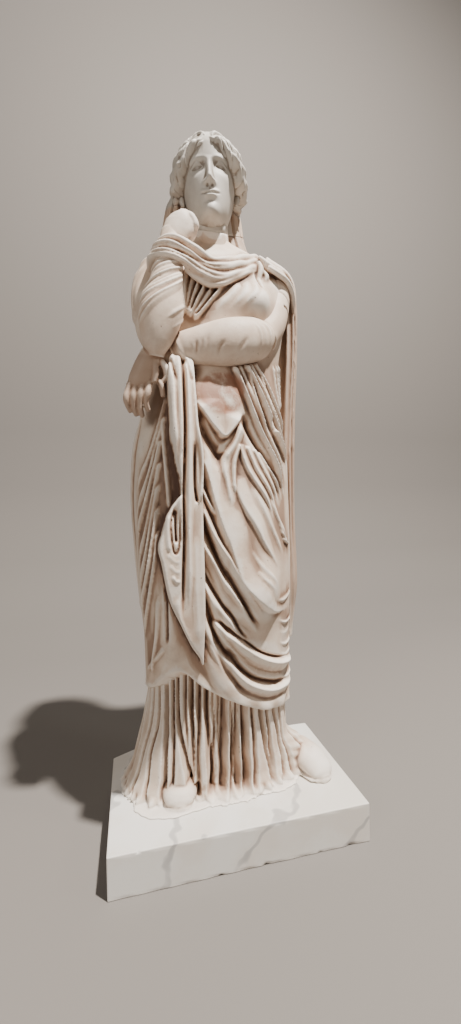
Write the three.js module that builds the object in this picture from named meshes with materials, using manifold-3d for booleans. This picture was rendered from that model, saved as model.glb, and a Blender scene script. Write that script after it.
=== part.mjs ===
// A life-size draped woman in marble, standing on a low slab: her left arm crosses the waist,
// her right elbow rests on it and the right hand is raised to the chin.
// Millimetres, +Z up, +X to the viewer's right, +Y away from the viewer; the origin is the
// middle of the slab's underside.
import * as THREE from 'three';
import { SimplifyModifier } from 'three/addons/modifiers/SimplifyModifier.js';
import { mergeVertices } from 'three/addons/utils/BufferGeometryUtils.js';
import Module from 'manifold-3d';

const wasm = await Module();
wasm.setup();

// ---------------------------------------------------------------- driving sizes
const slab = { width: 634, depth: 396, height: 97, cornerAcross: 70, cornerBack: 36, bevel: 3 };
const floor = slab.height + 0.3; // the figure stands a hair above the slab
const skull = { x: -25, y: 2, z: 1716, top: 102, chin: -126, tall: 1.06, turn: -11, lean: -2 };
const joint = { y: -50, z: 1566, slope: 0.6 }; // the head's seat, rising towards the back
const grown = 1.004; // leaves 0.3 to 0.4 mm round the head
const foldScale = 200; // millimetres of cloth to one radian round the body
const squareness = 0.85; // under 1 fills the corners of the robe's plan
const corners = { figure: 4060, head: 760 }; // vertices kept in the finished solids

// ---------------------------------------------------------------- small tools
const radians = (degrees) => (degrees * Math.PI) / 180;
const mix = (a, b, t) => a + (b - a) * t;
const clamp = (x, low = 0, high = 1) => Math.min(high, Math.max(low, x));
const ease = (x) => clamp(x) ** 2 * (3 - 2 * clamp(x));
const signedPower = (x, p) => Math.sign(x) * Math.abs(x) ** p;
const bump = (x, middle, half) => Math.exp(-(((x - middle) / half) ** 2));
const point = (x, y, z) => new THREE.Vector3(x, y, z);

// A smooth curve through [place, value] knots that never overshoots them.
function through(knots) {
  const slopes = knots.map((knot, i) => {
    const before = knots[i - 1];
    const after = knots[i + 1];
    if (!before || !after) return 0;
    const down = (knot[1] - before[1]) / (knot[0] - before[0]);
    const up = (after[1] - knot[1]) / (after[0] - knot[0]);
    return down * up <= 0 ? 0 : (2 * down * up) / (down + up);
  });
  return (place) => {
    if (place <= knots[0][0]) return knots[0][1];
    const i = knots.findIndex((knot) => knot[0] >= place);
    if (i < 0) return knots[knots.length - 1][1];
    const [x0, y0] = knots[i - 1];
    const [x1, y1] = knots[i];
    const span = x1 - x0;
    const t = (place - x0) / span;
    const run = span * (slopes[i - 1] * t * (1 - t) ** 2 - slopes[i] * t * t * (1 - t));
    return y0 * (1 + 2 * t) * (1 - t) ** 2 + y1 * t * t * (3 - 2 * t) + run;
  };
}

// A closed skin: a capped cylinder whose vertices are moved to place(turn, along), both 0 to 1.
function skin(around, along, place) {
  const geometry = new THREE.CylinderGeometry(1, 1, 1, around, along);
  const position = geometry.getAttribute('position');
  const middles = [0, 1].map((end) => {
    const middle = point(0, 0, 0);
    for (let i = 0; i < around; i++) middle.add(place(i / around, end));
    return middle.divideScalar(around);
  });
  for (let i = 0; i < position.count; i++) {
    const [x, z] = [position.getX(i), position.getZ(i)];
    const up = Math.round((position.getY(i) + 0.5) * along) / along;
    const step = Math.round((Math.atan2(x, z) / (2 * Math.PI)) * around + around);
    const moved = Math.hypot(x, z) < 0.5 ? middles[up] : place((step % around) / around, up);
    position.setXYZ(i, moved.x, moved.y, moved.z);
  }
  return geometry;
}

// Turns a closed geometry into a solid for joining and cutting.
function solid(geometry) {
  const bare = geometry.index ? geometry.toNonIndexed() : geometry.clone();
  bare.deleteAttribute('normal');
  bare.deleteAttribute('uv');
  const merged = mergeVertices(bare, 1e-3);
  const vertProperties = merged.attributes.position.array;
  const triVerts = new Uint32Array(merged.index.array);
  const made = new wasm.Manifold(new wasm.Mesh({ numProp: 3, vertProperties, triVerts }));
  if (made.volume() > 0) return made;
  for (let i = 0; i < triVerts.length; i += 3) {
    [triVerts[i + 1], triVerts[i + 2]] = [triVerts[i + 2], triVerts[i + 1]];
  }
  return new wasm.Manifold(new wasm.Mesh({ numProp: 3, vertProperties, triVerts }));
}

const join = (solids) => solids.reduce((sum, next) => sum.add(next));

function geometryOf(made) {
  const { numProp, vertProperties, triVerts } = made.getMesh();
  const points = new Float32Array((vertProperties.length / numProp) * 3);
  for (let i = 0; i * 3 < points.length; i++) {
    points.set(vertProperties.subarray(i * numProp, i * numProp + 3), i * 3);
  }
  const geometry = new THREE.BufferGeometry();
  geometry.setAttribute('position', new THREE.BufferAttribute(points, 3));
  geometry.setIndex(new THREE.BufferAttribute(triVerts, 1));
  return geometry;
}

// Fills any sealed hollow, then takes away the corners that carry least of the shape.
async function lighter(made, spare) {
  const shells = made.decompose().filter((shell) => shell.volume() > 0);
  const geometry = geometryOf(join(shells));
  return solid(await new SimplifyModifier().modify(geometry, spare));
}

// Cuts a form already brought down to a number of corners, then drops the slivers left behind.
async function finished(made, keep, cutters) {
  const light = await lighter(made, made.numVert() - keep);
  const cut = cutters.reduce((rest, cutter) => rest.subtract(cutter), light);
  return lighter(cut, Math.round(cut.numVert() * 0.04));
}

function meshOf(name, made, material) {
  const geometry = geometryOf(made);
  geometry.computeVertexNormals();
  const mesh = new THREE.Mesh(geometry, material);
  mesh.name = name;
  return mesh;
}

// A limb along a curve; stations are [x, y, z, half width, half depth]. The section's depth
// faces the way `facing` points.
function limb(stations, around, along, { facing = point(0, -1, 0), blunt = 0.6, crease = () => 1 } = {}) {
  const path = new THREE.CatmullRomCurve3(stations.map(([x, y, z]) => point(x, y, z)));
  const places = stations.map((_, i) => i / (stations.length - 1));
  const wide = through(stations.map((station, i) => [places[i], station[3]]));
  const deep = through(stations.map((station, i) => [places[i], station[4]]));
  return solid(
    skin(around, along, (turn, up) => {
      const end = up === 0 || up === 1 ? blunt : 1;
      const tangent = path.getTangent(up);
      const ahead = facing.clone().addScaledVector(tangent, -facing.dot(tangent)).normalize();
      const across = point(0, 0, 0).crossVectors(tangent, ahead);
      const size = end * crease(turn * 2 * Math.PI, up);
      return path
        .getPoint(up)
        .addScaledVector(across, Math.sin(turn * 2 * Math.PI) * wide(up) * size)
        .addScaledVector(ahead, Math.cos(turn * 2 * Math.PI) * deep(up) * size);
    }),
  );
}

// ---------------------------------------------------------------- the robe's outline
// Left and right edges as seen from the front, front and back as seen from the side.
const robe = {
  left: through([
    [300, -220], [500, -222], [610, -232], [740, -238], [860, -242], [975, -236], [1080, -219],
    [1200, -200], [1330, -205], [1430, -206], [1490, -186], [1530, -138], [1575, -76],
  ]),
  right: through([
    [300, 183], [500, 181], [725, 187], [950, 185], [1060, 168], [1200, 160], [1330, 176],
    [1430, 190], [1490, 168], [1530, 120], [1575, 30],
  ]),
  front: through([
    [300, -108], [500, -122], [620, -134], [900, -128], [1060, -122], [1200, -104],
    [1340, -110], [1430, -88], [1500, -60], [1575, -30],
  ]),
  back: through([
    [300, 150], [620, 148], [960, 160], [1200, 124], [1400, 130], [1490, 114], [1575, 66],
  ]),
};

function onOutline(outline, degrees, height, lift = 0) {
  const [left, right] = [outline.left(height), outline.right(height)];
  const [front, back] = [outline.front(height), outline.back(height)];
  const angle = radians(degrees);
  const across = signedPower(Math.sin(angle), squareness);
  const ahead = signedPower(Math.cos(angle), squareness);
  const x = (left + right) / 2 + ((right - left) / 2) * across;
  const y = (front + back) / 2 - ((back - front) / 2) * ahead;
  return point(x + lift * Math.sin(angle), y - lift * Math.cos(angle), height);
}

// Degrees round the robe of a place seen from the front at x.
function degreesAt(x, height) {
  const [left, right] = [robe.left(height), robe.right(height)];
  const share = clamp((x - (left + right) / 2) / ((right - left) / 2), -0.995, 0.995);
  return (Math.asin(signedPower(share, 1 / squareness)) * 180) / Math.PI;
}
const seen = (places) => places.map(([x, height]) => [degreesAt(x, height), height]);

// Soft swellings under the cloth: [degrees, height, how far out, half width, half height].
const swellings = [
  [22, 640, 34, 48, 70], // knee of the bent leg
  [18, 800, 26, 66, 150], // its thigh
  [24, 480, 10, 60, 110], // its shin
  [-44, 640, 12, 60, 260], // the straight leg
  [-8, 1130, 16, 80, 70], // belly
  [20, 1372, 26, 52, 48], // breast
  [-30, 1380, 20, 52, 52],
  [150, 980, 18, 70, 90], // hips from behind
  [-150, 980, 18, 70, 90],
];
function swelling(degrees, height) {
  return swellings.reduce((sum, [at, level, out, halfWidth, halfHeight]) => {
    const away = radians(degrees - at) * foldScale;
    return sum + out * bump(away, 0, halfWidth) * bump(height, level, halfHeight);
  }, 0);
}

// ---------------------------------------------------------------- folds
// Lines that change evenly from the first guide to the last; guides are [degrees, height].
function fan(first, last, count) {
  const [a, b] = [first, last].map(
    (guide) => new THREE.SplineCurve(guide.map(([x, y]) => new THREE.Vector2(x, y))),
  );
  return Array.from({ length: count }, (_, k) => {
    const share = count > 1 ? k / (count - 1) : 0;
    return Array.from({ length: 9 }, (_, i) => a.getPoint(i / 8).lerp(b.getPoint(i / 8), share));
  });
}

// How deep the grooves cut at a place; a groove is { line, depth, width }.
function grooving(grooves, degrees, height) {
  let total = 0;
  for (const { line, depth, width } of grooves) {
    let nearest = Infinity;
    let at = 0;
    for (let i = 1; i < line.length; i++) {
      const a = line[i - 1];
      const dx = radians(line[i].x - a.x) * foldScale;
      const dy = line[i].y - a.y;
      const px = radians(degrees - a.x) * foldScale;
      const py = height - a.y;
      const t = clamp((px * dx + py * dy) / (dx * dx + dy * dy));
      const away = Math.hypot(px - t * dx, py - t * dy);
      if (away < nearest) {
        nearest = away;
        at = (i - 1 + t) / (line.length - 1);
      }
    }
    const taper = ease(at / 0.15) * ease((1 - at) / 0.15);
    total += depth * taper * clamp(1 - nearest / width) ** 1.3;
  }
  return total;
}

const grooves = [
  // long slanting folds over the straight leg
  ...fan(seen([[-178, 1060], [-206, 880], [-232, 640]]), seen([[-176, 760], [-190, 640], [-214, 480]]), 4)
    .map((line) => ({ line, depth: 9, width: 17 })),
  // taut folds over the thigh
  ...fan(seen([[20, 990], [62, 860], [140, 700]]), seen([[-2, 800], [50, 690], [128, 612]]), 3)
    .map((line) => ({ line, depth: 6, width: 15 })),
  // broad folds over the back and hips
  ...fan(
    [[100, 1360], [150, 1240], [205, 1215], [262, 1320]],
    [[98, 660], [140, 500], [205, 470], [258, 600]],
    6,
  ).map((line) => ({ line, depth: 15, width: 34 })),
];

// A raised fold lying on the robe; places are [x seen from the front, height].
function ridge(places, width, rise) {
  const line = new THREE.SplineCurve(seen(places).map(([x, y]) => new THREE.Vector2(x, y)));
  const onRobe = (t, lift) => {
    const { x: degrees, y: height } = line.getPoint(clamp(t));
    return onOutline(robe, degrees, height, swelling(degrees, height) + lift);
  };
  return solid(
    skin(10, 26, (turn, up) => {
      const slim = Math.sin(mix(0.16, 0.92, up) * Math.PI) ** 0.7;
      const { x: degrees } = line.getPoint(up);
      const out = point(Math.sin(radians(degrees)), -Math.cos(radians(degrees)), 0);
      const forward = onRobe(up + 0.05, 0).sub(onRobe(up - 0.05, 0)).normalize();
      const across = point(0, 0, 0).crossVectors(forward, out).normalize();
      const angle = turn * 2 * Math.PI;
      const lift = Math.cos(angle) > 0 ? rise * Math.cos(angle) : 12 * Math.cos(angle);
      return onRobe(up, 0)
        .addScaledVector(out, lift * slim)
        .addScaledVector(across, Math.sin(angle) * width * slim);
    }),
  );
}

const ridges = [
  // the edge of the cloth drawn up over the thigh
  ridge([[20, 1045], [-20, 970], [-18, 810], [-12, 720], [12, 650], [66, 588]], 12, 18),
  ridge([[-78, 985], [-46, 905], [-22, 775], [-8, 715]], 10, 14),
  // the great curved folds from the hanging end round the shin
  ridge([[-84, 905], [-50, 810], [-22, 720], [14, 630], [70, 540], [140, 470]], 15, 24),
  ridge([[-84, 770], [-52, 680], [-14, 590], [40, 505], [100, 450], [160, 425]], 14, 22),
  ridge([[-84, 650], [-56, 570], [-12, 490], [50, 425], [110, 385], [165, 372]], 14, 22),
  ridge([[-80, 530], [-52, 470], [-10, 415], [50, 372], [120, 345]], 14, 17),
  // folds from under the elbow round the hip
  ridge([[14, 1190], [44, 1105], [104, 1010], [160, 900]], 12, 16),
  ridge([[46, 1195], [86, 1115], [136, 1040], [164, 985]], 11, 15),
  ridge([[48, 1075], [92, 975], [142, 850], [168, 770]], 12, 15),
  ridge([[22, 1000], [56, 900], [120, 770], [160, 690]], 11, 9),
  // long folds on the straight leg
  ridge([[-168, 1060], [-186, 900], [-202, 760], [-222, 600]], 13, 11),
  ridge([[-200, 1060], [-226, 920], [-240, 790]], 12, 11),
  ridge([[-172, 760], [-184, 640], [-198, 520], [-212, 420]], 13, 12),
  // the pointed flap over the belly
  ridge([[-88, 1112], [-62, 1060], [-22, 1020], [12, 1052], [34, 1096]], 11, 16),
];

// ---------------------------------------------------------------- mantle
const hem = through([
  [-180, 336], [-90, 366], [-60, 395], [-34, 442], [-18, 406], [-3, 366], [9.5, 338],
  [23, 319], [45, 310], [85, 304], [180, 336],
]);
const neckline = 1575;
function mantle() {
  return solid(
    skin(120, 90, (turn, up) => {
      const even = ((turn + 0.5) % 1) - 0.5;
      const degrees = even * 360 - 22 * Math.sin(even * 2 * Math.PI); // closer columns in front
      const height = mix(hem(degrees), neckline, up);
      const behind = degrees < -80 ? grooving(grooves, degrees + 360, height) : 0;
      const sunk = grooving(grooves, degrees, height) + behind;
      return onOutline(robe, degrees, height, swelling(degrees, height) - sunk);
    }),
  );
}

// ---------------------------------------------------------------- tunic below the mantle
const tunicOutline = {
  left: through([[95, -291], [118, -285], [155, -264], [235, -242], [290, -228], [520, -196]]),
  right: through([[95, 204], [160, 190], [212, 176], [300, 170], [520, 160]]),
  front: through([[95, -106], [150, -94], [300, -94], [520, -100]]),
  back: through([[95, 172], [150, 158], [300, 138], [520, 126]]),
};
function tunic() {
  const pleats = 25;
  return solid(
    skin(200, 16, (turn, up) => {
      const even = ((turn + 0.5) % 1) - 0.5;
      const degrees = even * 360 - 20 * Math.sin(even * 2 * Math.PI);
      const height = mix(floor, 500, up ** 1.3);
      const sway = 0.5 * Math.sin(even * 31) + 0.25 * Math.sin(even * 17 + height / 60);
      const phase = (even * pleats + sway) * Math.PI;
      const depth = 17 + 6 * Math.cos(Math.round(phase / Math.PI) * 2.4);
      const lift = 3 - depth * (1 - Math.abs(Math.sin(phase)) ** 0.55);
      const overRightFoot = 50 * bump(degrees, 80, 20) * ease((222 - height) / 70);
      const aboveToe = 46 * bump(degrees, -21, 10) * ease((150 - height) / 25);
      const out = lift * mix(0.6, 1, ease(up * 4)) + overRightFoot - aboveToe;
      return onOutline(tunicOutline, degrees, height, out);
    }),
  );
}

// ---------------------------------------------------------------- hanging cloth
// A panel of cloth: columns [share across, lift] repeat down the panel between two edges.
function panel(levels, section, edges) {
  return solid(
    skin(section.length, levels, (turn, up) => {
      const [share, lift] = section[Math.round(turn * section.length) % section.length];
      const { left, right, front, back, height, swell = 1 } = edges(up);
      const deep = lift === null ? back : front + lift * swell;
      return point(mix(left, right, share), deep, height + share * 0.01);
    }),
  );
}

const hangingEnd = panel(
  11,
  [
    [0, 8], [0.1, -4], [0.22, 8], [0.34, -5], [0.44, -4], [0.5, 13], [0.56, 13], [0.62, -6],
    [0.76, -4], [0.86, 9], [0.92, 0], [1, 4], [1, null], [0.66, null], [0.33, null], [0, null],
  ],
  (up) => {
    const height = mix(466, 1196, up ** 0.9);
    const left = through([
      [466, -92], [580, -146], [662, -176], [755, -191], [840, -168], [877, -150], [946, -150],
      [1024, -163], [1196, -161],
    ])(height);
    const right = through([[466, -83], [820, -81], [1026, -80], [1196, -85]])(height);
    const front = through([[466, -142], [700, -158], [1000, -154], [1196, -138]])(height);
    return { left, right, front, back: -70, height, swell: ease((height - 440) / 200) };
  },
);

// The mantle's other end, thrown over the left shoulder and falling down the side.
const sideFall = limb(
  [
    [128, 40, 1536, 40, 40], [196, 48, 1500, 38, 44], [214, 52, 1420, 30, 50], [212, 54, 1290, 30, 52],
    [202, 54, 1095, 30, 50], [199, 54, 840, 29, 48], [203, 54, 600, 28, 44], [190, 54, 455, 22, 34],
  ],
  44,
  60,
  { blunt: 0.85, crease: (angle, up) => 1 + 0.12 * Math.cos(angle * 9 + 2 * up) },
);

// Rolled folds of the mantle drawn across the chest.
const collar = [0, 1, 2, 3].map((k) => {
  const down = k / 3;
  const radius = [15, 13, 14, 11][k];
  return limb(
    [
      [mix(-160, -182, down), mix(20, 10, down), mix(1492, 1436, down), radius, radius],
      [mix(-162, -178, down), mix(-62, -64, down), mix(1482, 1438, down), radius + 1, radius + 1],
      [mix(-138, -118, down), mix(-124, -126, down), mix(1462, 1420, down), radius, radius],
      [-48, mix(-100, -118, down), mix(1446, 1404, down), radius, radius],
      [30, mix(-70, -96, down), mix(1474, 1444, down), radius, radius],
      [100, mix(-24, -44, down), mix(1540, 1516, down), radius - 2, radius - 2],
      [112, mix(50, 40, down), mix(1552, 1536, down), radius, radius],
    ],
    12,
    40,
  );
});

const shoulderRidge = limb(
  [[100, -34, 1504, 14, 20], [150, -34, 1494, 14, 18], [194, -10, 1480, 14, 16], [222, 24, 1446, 13, 15]],
  6,
  6,
);

// ---------------------------------------------------------------- arms and hands
// The right elbow rests in front of the left forearm, which passes behind it to the wrist.
const rightArm = [
  limb(
    [
      [-168, 10, 1480, 46, 52], [-185, -10, 1400, 50, 52],
      [-180, -64, 1300, 50, 50], [-172, -100, 1236, 40, 40],
    ],
    24,
    22,
  ),
  limb(
    [
      [-186, -104, 1212, 22, 26], [-182, -116, 1248, 38, 38], [-171, -122, 1312, 53, 42],
      [-158, -116, 1372, 41, 36], [-143, -100, 1470, 31, 28], [-136, -92, 1520, 29, 25],
    ],
    24,
    28,
  ),
];
const rightHand = [
  limb(
    [
      [-137, -92, 1488, 28, 25], [-127, -93, 1514, 36, 27], [-115, -93, 1536, 40, 27],
      [-112, -93, 1553, 34, 25], [-112, -92, 1568, 19, 19], [-116, -92, 1577, 8, 10],
    ],
    24,
    20,
  ),
];
const leftArm = [
  limb(
    [[150, 20, 1496, 44, 50], [155, 0, 1430, 44, 50], [128, -42, 1340, 43, 48], [92, -74, 1284, 42, 44]],
    24,
    20,
  ),
  limb(
    [
      [118, -62, 1296, 16, 20], [98, -76, 1290, 38, 38], [60, -94, 1274, 56, 46], [0, -110, 1258, 58, 42],
      [-100, -98, 1242, 43, 32], [-150, -82, 1230, 36, 27], [-196, -96, 1216, 29, 23],
    ],
    24,
    32,
  ),
];
const leftHand = [
  limb([[-188, -108, 1222, 28, 22], [-212, -104, 1172, 32, 20], [-226, -98, 1128, 30, 17]], 18, 10),
  ...[0, 1, 2, 3].map((k) =>
    limb(
      [
        [-202 - k * 14, -104 + k * 3, 1150 - k * 6, 9, 10],
        [-210 - k * 13, -104 + k * 3, 1106 - k * 4, 9, 10],
        [-206 - k * 11, -88 + k * 2, 1076 - k * 4, 8, 9],
      ],
      10,
      10,
    ),
  ),
  limb([[-186, -118, 1190, 11, 11], [-172, -124, 1156, 10, 10], [-166, -122, 1136, 8, 9]], 10, 8),
];

// ---------------------------------------------------------------- feet and base
const feet = [
  limb(
    [[-140, 0, 130, 40, 31], [-141, -46, 127, 44, 31], [-146, -78, 119, 37, 25], [-147, -102, 108, 22, 11]],
    24,
    16,
    { facing: point(0, 0, 1) },
  ),
  limb(
    [[214, 6, 136, 42, 38], [234, -40, 132, 48, 36], [246, -72, 118, 42, 24], [252, -92, 108, 26, 11]],
    24,
    16,
    { facing: point(0, 0, 1) },
  ),
];

// The thin base left round the feet; reach is how far it goes from the middle at each degree.
function basePad() {
  const reach = through([
    [0, 120], [25, 127], [57, 182], [75, 206], [90, 212], [115, 208], [140, 196], [180, 174],
    [220, 206], [245, 280], [270, 288], [281, 264], [288, 264], [303, 228], [323, 156], [340, 127], [360, 120],
  ]);
  const levels = [
    [floor, 1], [100, 1], [102, 0.975],
  ];
  return solid(
    skin(60, 2, (turn, up) => {
      const [height, share] = levels[Math.round(up * 2)];
      const angle = turn * 2 * Math.PI;
      const out = (reach(turn * 360) + 3 * Math.sin(turn * 47)) * share;
      return point(-6 + out * Math.sin(angle), 8 - out * Math.cos(angle), height);
    }),
  );
}

function slabSolid() {
  const [w, d, b] = [slab.width / 2, slab.depth / 2, slab.bevel];
  const plan = new THREE.Shape([
    new THREE.Vector2(-w + b, -d + b),
    new THREE.Vector2(w - b, -d + b),
    new THREE.Vector2(w - b, d - b),
    new THREE.Vector2(-w + slab.cornerAcross, d - b),
    new THREE.Vector2(-w + slab.cornerAcross * 0.42, d - slab.cornerBack * 0.42),
    new THREE.Vector2(-w + b, d - slab.cornerBack),
  ]);
  const geometry = new THREE.ExtrudeGeometry(plan, {
    depth: slab.height - 2 * b,
    bevelThickness: b,
    bevelSize: b,
    bevelSegments: 2,
    steps: 1,
  });
  geometry.translate(0, 0, b);
  return solid(geometry);
}

// ---------------------------------------------------------------- neck, veil and head
const neck = limb(
  [[-22, 14, 1500, 64, 58], [-22, 8, 1560, 52, 52], [-25, 6, 1640, 50, 54], [-25, 10, 1700, 50, 60]],
  24,
  10,
);

function veil() {
  const outline = {
    left: through([
      [1500, -184], [1563, -163], [1600, -154], [1688, -138], [1720, -124], [1760, -108], [1810, -70],
    ]),
    right: through([
      [1500, 112], [1540, 92], [1580, 79], [1679, 76], [1720, 66], [1760, 52], [1810, 18],
    ]),
    front: through([[1540, 12], [1690, 16], [1760, 30], [1810, 50]]),
    back: through([[1540, 112], [1690, 122], [1760, 116], [1810, 84]]),
  };
  return solid(
    skin(84, 20, (turn, up) => {
      const height = mix(1500, 1810, up);
      const lift = 6 * Math.cos(turn * 14 * 2 * Math.PI) * (1 - up);
      return onOutline(outline, turn * 360, height, lift);
    }),
  );
}

// Places on the head are given in its own frame: x to its left, y to its back, z up.
const headTurn = new THREE.Matrix4()
  .makeTranslation(skull.x, skull.y, skull.z)
  .multiply(new THREE.Matrix4().makeRotationZ(radians(skull.turn)))
  .multiply(new THREE.Matrix4().makeRotationY(radians(skull.lean)))
  .multiply(new THREE.Matrix4().makeScale(1, 1, skull.tall));

function face() {
  const { top, chin: low } = skull;
  const half = through([
    [low, 12], [-120, 28], [-110, 38], [-94, 48], [-76, 55], [-54, 62], [-28, 68], [0, 71],
    [24, 72], [50, 70], [74, 60], [92, 40], [top, 8],
  ]);
  const ahead = through([
    [low, 74], [-121, 85], [-112, 90], [-98, 90], [-60, 92], [-8, 93], [20, 96], [42, 96],
    [62, 90], [82, 74], [95, 48], [top, 12],
  ]);
  const behind = through([[low, -30], [-96, -20], [-70, 36], [-20, 86], [30, 96], [70, 78], [top, 12]]);
  const noseRise = through([[-60, 0], [-56, 4], [-51, 16], [-45, 20], [-36, 16], [-20, 9], [-4, 3], [4, 0]]);
  return solid(
    skin(72, 56, (turn, up) => {
      const height = mix(low, top, mix(up, ease(up), 0.4));
      const even = ((turn + 0.5) % 1) - 0.5;
      const angle = (even - 0.1 * Math.sin(even * 2 * Math.PI)) * 2 * Math.PI;
      const across = signedPower(Math.sin(angle), 0.94) * half(height);
      const forward = signedPower(Math.cos(angle), 0.86);
      let deep = forward > 0 ? -forward * ahead(height) : -forward * behind(height);
      if (forward > 0) {
        const side = Math.abs(across);
        deep -= noseRise(height) * bump(side, 0, 9);
        deep += 8 * bump(side, 31, 15) * bump(height, -10, 11);
        deep -= 3 * bump(side, 0, 20) * bump(height, -82, 7);
        deep -= 3 * bump(side, 0, 17) * bump(height, -110, 10);
      }
      return point(across, deep, height);
    }),
  );
}

// Hair waved back from a middle parting over the ears: the hairline is given by degrees from the front.
const hairline = through([
  [0, 44], [8, 38], [16, 30], [26, 19], [38, 3], [48, -12], [58, -24], [66, -31], [84, -35], [110, -42], [180, -58],
]);
function hair() {
  const [wide, tall] = [108, 109];
  return solid(
    skin(108, 44, (turn, up) => {
      const even = ((turn + 0.5) % 1) - 0.5;
      const degrees = Math.abs(even) * 360;
      const angle = mix(-0.3, 0.5, up) * Math.PI;
      const start = Math.asin(clamp((hairline(degrees) - 4) / tall, -1, 1));
      const above = (angle - start) * 110;
      const along = (degrees * Math.PI) / 1.8;
      const wave = Math.abs(Math.sin((Math.PI * (above + 5 * Math.sin(along / 13))) / 21)) ** 0.7;
      const out = Math.cos(angle);
      const x = Math.sin(even * 2 * Math.PI) * out * wide;
      const parting = 8 * bump(x, 0, 6) * ease((angle - 0.4) / 0.2);
      const crown = ease((Math.PI / 2 - angle) / 0.7);
      const relief = 5 * wave - 3 + 2.5 * Math.sin(along / 7.5 - above / 6);
      const lift = (relief * crown - parting) * ease(above / 8);
      const size = mix(0.62, 1, ease(above / 7 + 0.5)) + lift / 105;
      const ahead = even * even < 1 / 16 ? 118 : 104;
      const y = -Math.cos(even * 2 * Math.PI) * out * ahead;
      return point(x * size, 6 + y * size, 4 + Math.sin(angle) * tall * size);
    }),
  );
}

// Short raised curls beside the parting, and the lobes of the ears.
const curls = [-1, 1].flatMap((side) =>
  [0, 1, 2].map((k) =>
    limb(
      [
        [side * (8 + k * 18), -86 + k * 7, 66 - k * 5, 9, 10],
        [side * (16 + k * 19), -78 + k * 8, 78 - k * 6, 10, 10],
        [side * (30 + k * 17), -70 + k * 9, 74 - k * 8, 8, 8],
      ],
      12,
      10,
    ),
  ),
);
const lobes = [-1, 1].map((side) =>
  limb([[side * 70, 0, -22, 8, 10], [side * 75, -4, -38, 8, 9], [side * 71, -6, -50, 5, 5]], 12, 8),
);

const headForms = join([face(), hair(), ...curls, ...lobes]).transform(headTurn.elements);

// Everything below the head's seat.
const belowSeat = new THREE.BoxGeometry(800, 900, 400);
belowSeat.translate(0, 0, -200);
belowSeat.rotateX(Math.atan(joint.slope));
belowSeat.translate(0, joint.y, joint.z);
const below = solid(belowSeat);

const clothOverHead = veil();
const seated = join([headForms, clothOverHead, neck]);
const head = await finished(seated, corners.head, [below]);
const hollow = head
  .translate(-skull.x, -skull.y, -skull.z)
  .scale(grown)
  .translate(skull.x, skull.y, skull.z);

// ---------------------------------------------------------------- assembly
const marble = new THREE.MeshStandardMaterial({ color: 0xd9cabb, roughness: 0.62, metalness: 0 });
const headMarble = new THREE.MeshStandardMaterial({ color: 0xd3cfca, roughness: 0.55, metalness: 0 });
const slabMarble = new THREE.MeshStandardMaterial({ color: 0xdedad4, roughness: 0.5, metalness: 0 });

const draped = join([
  mantle(),
  tunic(),
  ...ridges,
  hangingEnd,
  sideFall,
  ...collar,
  shoulderRidge,
  ...rightArm,
  ...rightHand,
  ...leftArm,
  ...leftHand,
  ...feet,
  basePad(),
  neck.add(clothOverHead).intersect(below),
]);
const underfoot = new THREE.BoxGeometry(slab.width * 2, slab.depth * 2, 200);
underfoot.translate(0, 0, floor - 100);
const figure = await finished(draped, corners.figure, [solid(underfoot), hollow]);

const statue = new THREE.Group();
statue.add(meshOf('plinth', slabSolid(), slabMarble));
statue.add(meshOf('figure', figure, marble));
statue.add(meshOf('head', head, headMarble));

export default statue;
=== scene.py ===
import bpy
import bmesh
import math
import numpy as np
from mathutils import Matrix, Vector


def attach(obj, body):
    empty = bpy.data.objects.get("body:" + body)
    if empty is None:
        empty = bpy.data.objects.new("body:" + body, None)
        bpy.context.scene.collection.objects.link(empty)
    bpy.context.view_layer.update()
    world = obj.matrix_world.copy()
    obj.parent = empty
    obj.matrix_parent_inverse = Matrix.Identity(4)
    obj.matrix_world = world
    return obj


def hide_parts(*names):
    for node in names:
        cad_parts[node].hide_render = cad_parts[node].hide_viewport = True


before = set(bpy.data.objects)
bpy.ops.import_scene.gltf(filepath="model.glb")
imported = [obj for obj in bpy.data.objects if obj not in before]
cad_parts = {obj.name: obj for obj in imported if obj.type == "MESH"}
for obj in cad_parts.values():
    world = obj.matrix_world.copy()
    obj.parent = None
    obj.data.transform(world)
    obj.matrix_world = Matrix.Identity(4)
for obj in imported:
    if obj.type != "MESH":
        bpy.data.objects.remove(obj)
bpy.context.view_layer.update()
mm = 0.001

# small tools: everything below is worked out in millimetres and brought to metres at the end


def through(knots):
    # a smooth curve through (place, value) knots that never overshoots them
    at = np.array([k[0] for k in knots], float)
    to = np.array([k[1] for k in knots], float)
    span = np.diff(at)
    rise = np.diff(to) / span
    slope = np.zeros(len(at))
    both = rise[:-1] * rise[1:]
    slope[1:-1] = np.where(both > 0, 2 * both / np.where(both > 0, rise[:-1] + rise[1:], 1), 0)

    def value(x):
        x = np.clip(np.asarray(x, float), at[0], at[-1])
        i = np.clip(np.searchsorted(at, x) - 1, 0, len(span) - 1)
        t = (x - at[i]) / span[i]
        run = span[i] * (slope[i] * t * (1 - t) ** 2 - slope[i + 1] * t * t * (1 - t))
        return to[i] * (1 + 2 * t) * (1 - t) ** 2 + to[i + 1] * t * t * (3 - 2 * t) + run

    return value


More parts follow.
